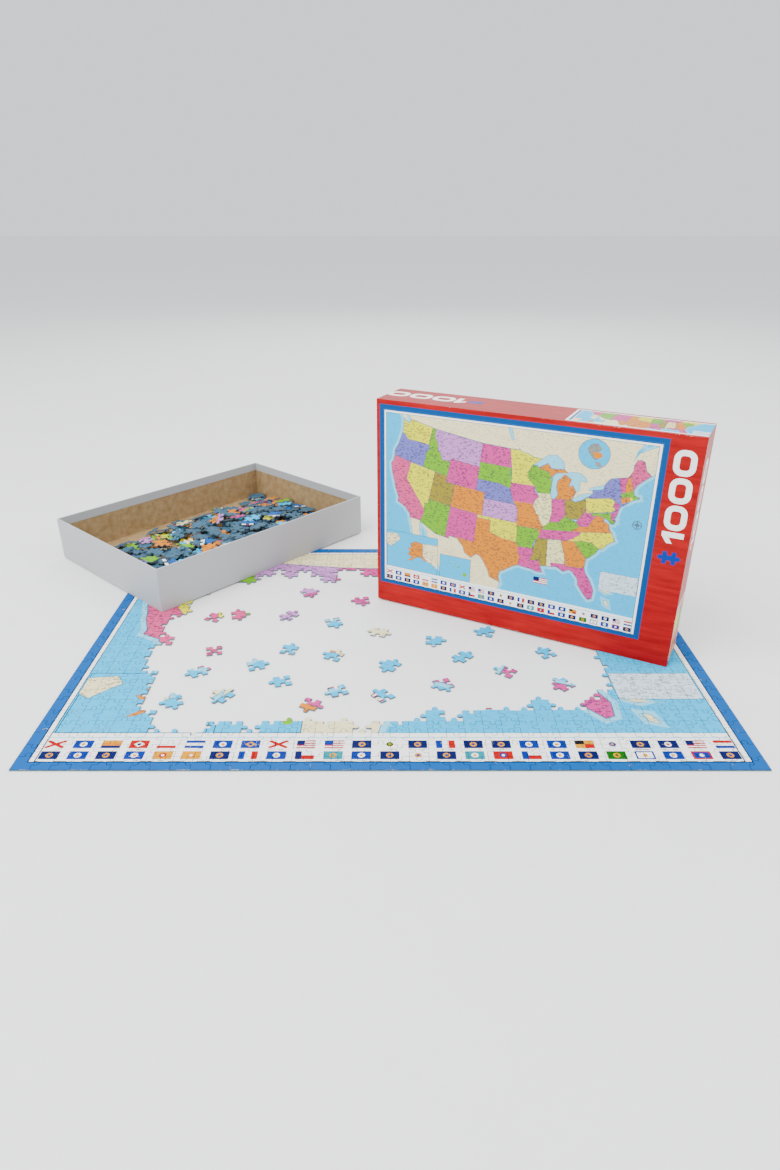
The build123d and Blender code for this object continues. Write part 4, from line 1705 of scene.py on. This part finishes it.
@dataclass
class Lid(BoxHalf):
    """The lid: picture on the front, figures and a piece mark on red, sides in red."""

    frame: Box = (3.75, 25.0, 322.0, 248.5)
    frame_rim: Box = (5.0, 4.4, 5.0, 5.0)
    figure_height: float = 21.5
    figures_up: float = 142.0
    mark_up: float = 126.0
    mark_size: float = 14.0
    overlap: float = 5.0

    def red(self, outline: Sequence[Point], ink: str = "lid_red") -> Region:
        """Streaked region in the lid's own red, or in another ink."""
        return Region(ink, tuple(outline), 0.0, self.streaks if ink == "lid_red" else 0.0)

    def numerals(self, quarter_turns: int, x: float, y: float, under: str = "lid_red") -> list[Region]:
        """The piece count, turned and placed.

        Args:
            quarter_turns: How far it is turned anticlockwise.
            x: Place of the first figure's lower start.
            y: The same, upwards.
            under: Ink of the holes.

        Returns:
            Its regions.
        """
        found = []
        for figure in digit_outlines(self.figure_height):
            for number, outline in enumerate(figure):
                found.append(self.red(turned(outline, quarter_turns, x, y), under if number else "paper"))
        return found

    def piece_mark(self, x: float, y: float, size: float) -> list[Region]:
        """A plain mark in the shape of one puzzle piece.

        Args:
            x: Its middle.
            y: The same, upwards.
            size: Length of its sides.

        Returns:
            Its regions.
        """
        half, knob = size / 2, 0.30 * size
        square = rounded(x - half, y - half, x + half, y + half, 0.08 * size, 4)
        found = [self.red(square, "icon_blue")]
        for side, ink in ((0, "icon_blue"), (2, "icon_blue"), (1, "lid_red"), (3, "lid_red")):
            reach = half + 0.42 * knob if ink == "icon_blue" else half - 0.42 * knob
            spot = reach * 1j ** side
            found.append(self.red(disc(x + spot.real, y + spot.imag, knob * 0.62, 16), ink))
        return found

    def picture(self, left: float, low: float, right: float, high: float) -> list[Region]:
        """The printed picture scaled into a rectangle on the lid.

        Args:
            left: Lowest x.
            low: Lowest y.
            right: Highest x.
            high: Highest y.

        Returns:
            Its regions.
        """
        sheet = MapSheet()
        wide, tall = (right - left) / sheet.length, (high - low) / sheet.width
        return [
            Region(r.ink, tuple((left + wide * x, low + tall * y) for x, y in r.outline), r.labels, r.streaks)
            for r in sheet.regions()
        ]

    def panels(self, faces: Sequence[bmesh.types.BMFace]) -> dict[int, Panel]:
        """Front, top, underside and both ends.

        Args:
            faces: Large outer faces of the wrap.

        Returns:
            Their panels by face number.
        """
        front = max((f for f in faces if abs(f.normal.z) < 0.1), key=lambda f: f.calc_area())
        out = front.normal.copy()
        along = UP.cross(out)
        found = {}
        for face in faces:
            normal = face.normal
            if face.index == front.index:
                axes = (along, UP, self.front_print)
            elif normal.z > 0.9:
                axes = (along, -out, self.top_print)
            elif normal.z < -0.9:
                axes = (along, out, self.plain_print)
            elif normal.dot(along) > 0.9:
                axes = (-out, UP, self.right_print)
            elif normal.dot(along) < -0.9:
                axes = (out, UP, self.plain_print)
            else:
                continue
            ahead, up, design = axes
            corners = [vert.co / MM for vert in face.verts]
            lows = [min(c.dot(axis) for c in corners) for axis in (ahead, up, normal)]
            highs = [max(c.dot(axis) for c in corners) for axis in (ahead, up)]
            origin = lows[0] * ahead + lows[1] * up + lows[2] * normal
            regions = design(highs[0] - lows[0], highs[1] - lows[1])
            found[face.index] = Panel(origin, ahead, up, regions)
        return found

    def plain_print(self, length: float, height: float) -> list[Region]:
        """Red all over."""
        return [self.red(grown(rectangle(0, 0, length, height), self.overlap))]

    def front_print(self, length: float, height: float) -> list[Region]:
        """Picture in a blue frame, figures reading upwards and the piece mark beside it.

        Args:
            length: Length of the panel.
            height: Height of the panel.

        Returns:
            Its regions.
        """
        left, low, right, high = self.frame
        inner = (left + self.frame_rim[0], low + self.frame_rim[1],
                 right - self.frame_rim[2], high - self.frame_rim[3])
        strips = (
            (left, low, right, inner[1]), (left, inner[3], right, high),
            (left, inner[1], inner[0], inner[3]), (inner[2], inner[1], right, inner[3]),
        )
        found = self.plain_print(length, height) + self.picture(*self.frame)
        found += [self.red(rectangle(*strip), "lid_blue") for strip in strips]
        middle = (right + length) / 2
        found += self.numerals(1, middle + self.figure_height / 2, self.figures_up)
        return found + self.piece_mark(middle, self.mark_up, self.mark_size)

    def top_print(self, length: float, height: float) -> list[Region]:
        """Figures seen upside down from the front, the piece mark and a strip of the picture.

        Args:
            length: Length of the panel.
            height: Height of the panel.

        Returns:
            Its regions.
        """
        label_left, edge, rim = 216.0, 4.0, 2.5
        box = (label_left + rim, edge + rim, length + self.overlap, height - edge - rim)
        found = self.plain_print(length, height)
        found += self.numerals(2, 96.0, 44.0) + self.piece_mark(107.0, 33.0, 12.0)
        found.append(self.red(rectangle(label_left, edge, length + self.overlap, height - edge), "paper"))
        return found + windowed(self.picture(box[0], -40.0, length + 6.0, 150.0), box)

    def right_print(self, length: float, height: float) -> list[Region]:
        """Figures reading upwards and the picture's lower part on the end panel.

        Args:
            length: Length of the panel.
            height: Height of the panel.

        Returns:
            Its regions.
        """
        edge, rim, label_high = 4.0, 2.0, 68.0
        box = (edge + rim, edge + rim, length - edge - rim, label_high - rim)
        found = self.plain_print(length, height)
        found += self.numerals(1, 0.5 * (length + self.figure_height), 128.0)
        found += self.piece_mark(0.5 * length, 112.0, 12.0)
        found.append(self.red(rectangle(edge, edge, length - edge, label_high), "paper"))
        return found + windowed(self.picture(-150.0, -60.0, 190.0, 180.0), box)


@dataclass
class Tray(BoxHalf):
    """The tray: plain light grey outside, with scuffs."""

    def panels(self, faces: Sequence[bmesh.types.BMFace]) -> dict[int, Panel]:
        """The tray's outside has no print, so no face becomes a panel."""
        return {}


# ---------------------------------------------------------------------------
# Studio
# ---------------------------------------------------------------------------
@dataclass(frozen=True)
class Lamp:
    """One square soft light, in metres, degrees and watts."""

    name: str
    place: Triple
    turn: Triple
    size: float
    power: float

    def build(self) -> None:
        """Hang the light."""
        light = bpy.data.lights.new(self.name, "AREA")
        light.shape, light.size, light.energy = "SQUARE", self.size, self.power
        made = bpy.data.objects.new(self.name, light)
        made.location = self.place
        made.rotation_euler = tuple(math.radians(value) for value in self.turn)
        bpy.context.scene.collection.objects.link(made)


@dataclass
class Studio:
    """Pale floor, soft lights and the camera."""

    lamps: tuple[Lamp, ...] = (
        Lamp("key", (-1.1, -0.9, 1.9), (40, 0, -48), 1.8, 76.0),
        Lamp("fill", (1.6, -0.6, 1.5), (42, 0, 65), 1.6, 26.0),
        Lamp("back", (0.2, 1.9, 1.6), (-50, 0, 0), 1.8, 22.0),
    )
    surround: Colour = (0.91, 0.93, 0.96)
    surround_strength: float = 1.25
    floor_size: float = 24.0
    camera_height: float = 0.4545
    camera_back: float = 0.5441
    camera_aside: float = -0.0002
    tilt_down: float = 26.31
    lens: float = 23.78
    sensor: float = 36.0

    def floor(self) -> None:
        """A pale matt floor."""
        bpy.ops.object.select_all(action="DESELECT")
        bpy.ops.mesh.primitive_plane_add(size=self.floor_size, location=(0, 0, 0))
        made = bpy.context.object
        made.name = "studio_floor"
        made.data.transform(made.matrix_world)
        made.matrix_world.identity()
        made.data.materials.append(FLOOR_PAPER.material())

    def lights(self) -> None:
        """A large key from the upper left, a fill from the right and a pale surround."""
        for lamp in self.lamps:
            lamp.build()
        world = bpy.data.worlds.new("surround")
        bpy.context.scene.world = world
        world.use_nodes = True
        background = world.node_tree.nodes["Background"].inputs
        background["Color"].default_value = four(self.surround)
        background["Strength"].default_value = self.surround_strength

    def camera(self) -> None:
        """The camera in front of the near edge, looking down at the sheet."""
        low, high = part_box("corner_pieces")
        lens = bpy.data.cameras.new("camera")
        lens.sensor_fit, lens.sensor_height, lens.lens = "VERTICAL", self.sensor, self.lens
        made = bpy.data.objects.new("camera", lens)
        middle = (low.x + high.x) / 2
        made.location = (middle + self.camera_aside, low.y - self.camera_back, self.camera_height)
        made.rotation_euler = (math.radians(90 - self.tilt_down), 0.0, 0.0)
        bpy.context.scene.collection.objects.link(made)
        bpy.context.scene.camera = made


def main() -> None:
    """Load the frame and dress every part of it."""
    logging.basicConfig(level=logging.INFO, format="%(name)s: %(message)s")
    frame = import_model()
    nodes = frame["nodes"]
    bodies = frame["record"]["behaviour"]["bodies"]
    pieces = PuzzlePieces(nodes, bodies)
    pieces.build_joined()
    pieces.build_loose()
    pieces.build_heap()
    kraft, tape = KRAFT_BOARD.material(), TAPE_PAPER.material()
    for half in (
        Lid("lid", "lid", nodes, "lid_red", LID_PRINT, streaks=1.0, print_scale=2.1),
        Tray("tray", "tray", nodes, "tray_grey", TRAY_PRINT),
    ):
        half.dress_boards(kraft, tape)
        half.build_wrap()
    studio = Studio()
    studio.floor()
    studio.lights()
    studio.camera()


if __name__ == "__main__":
    main()
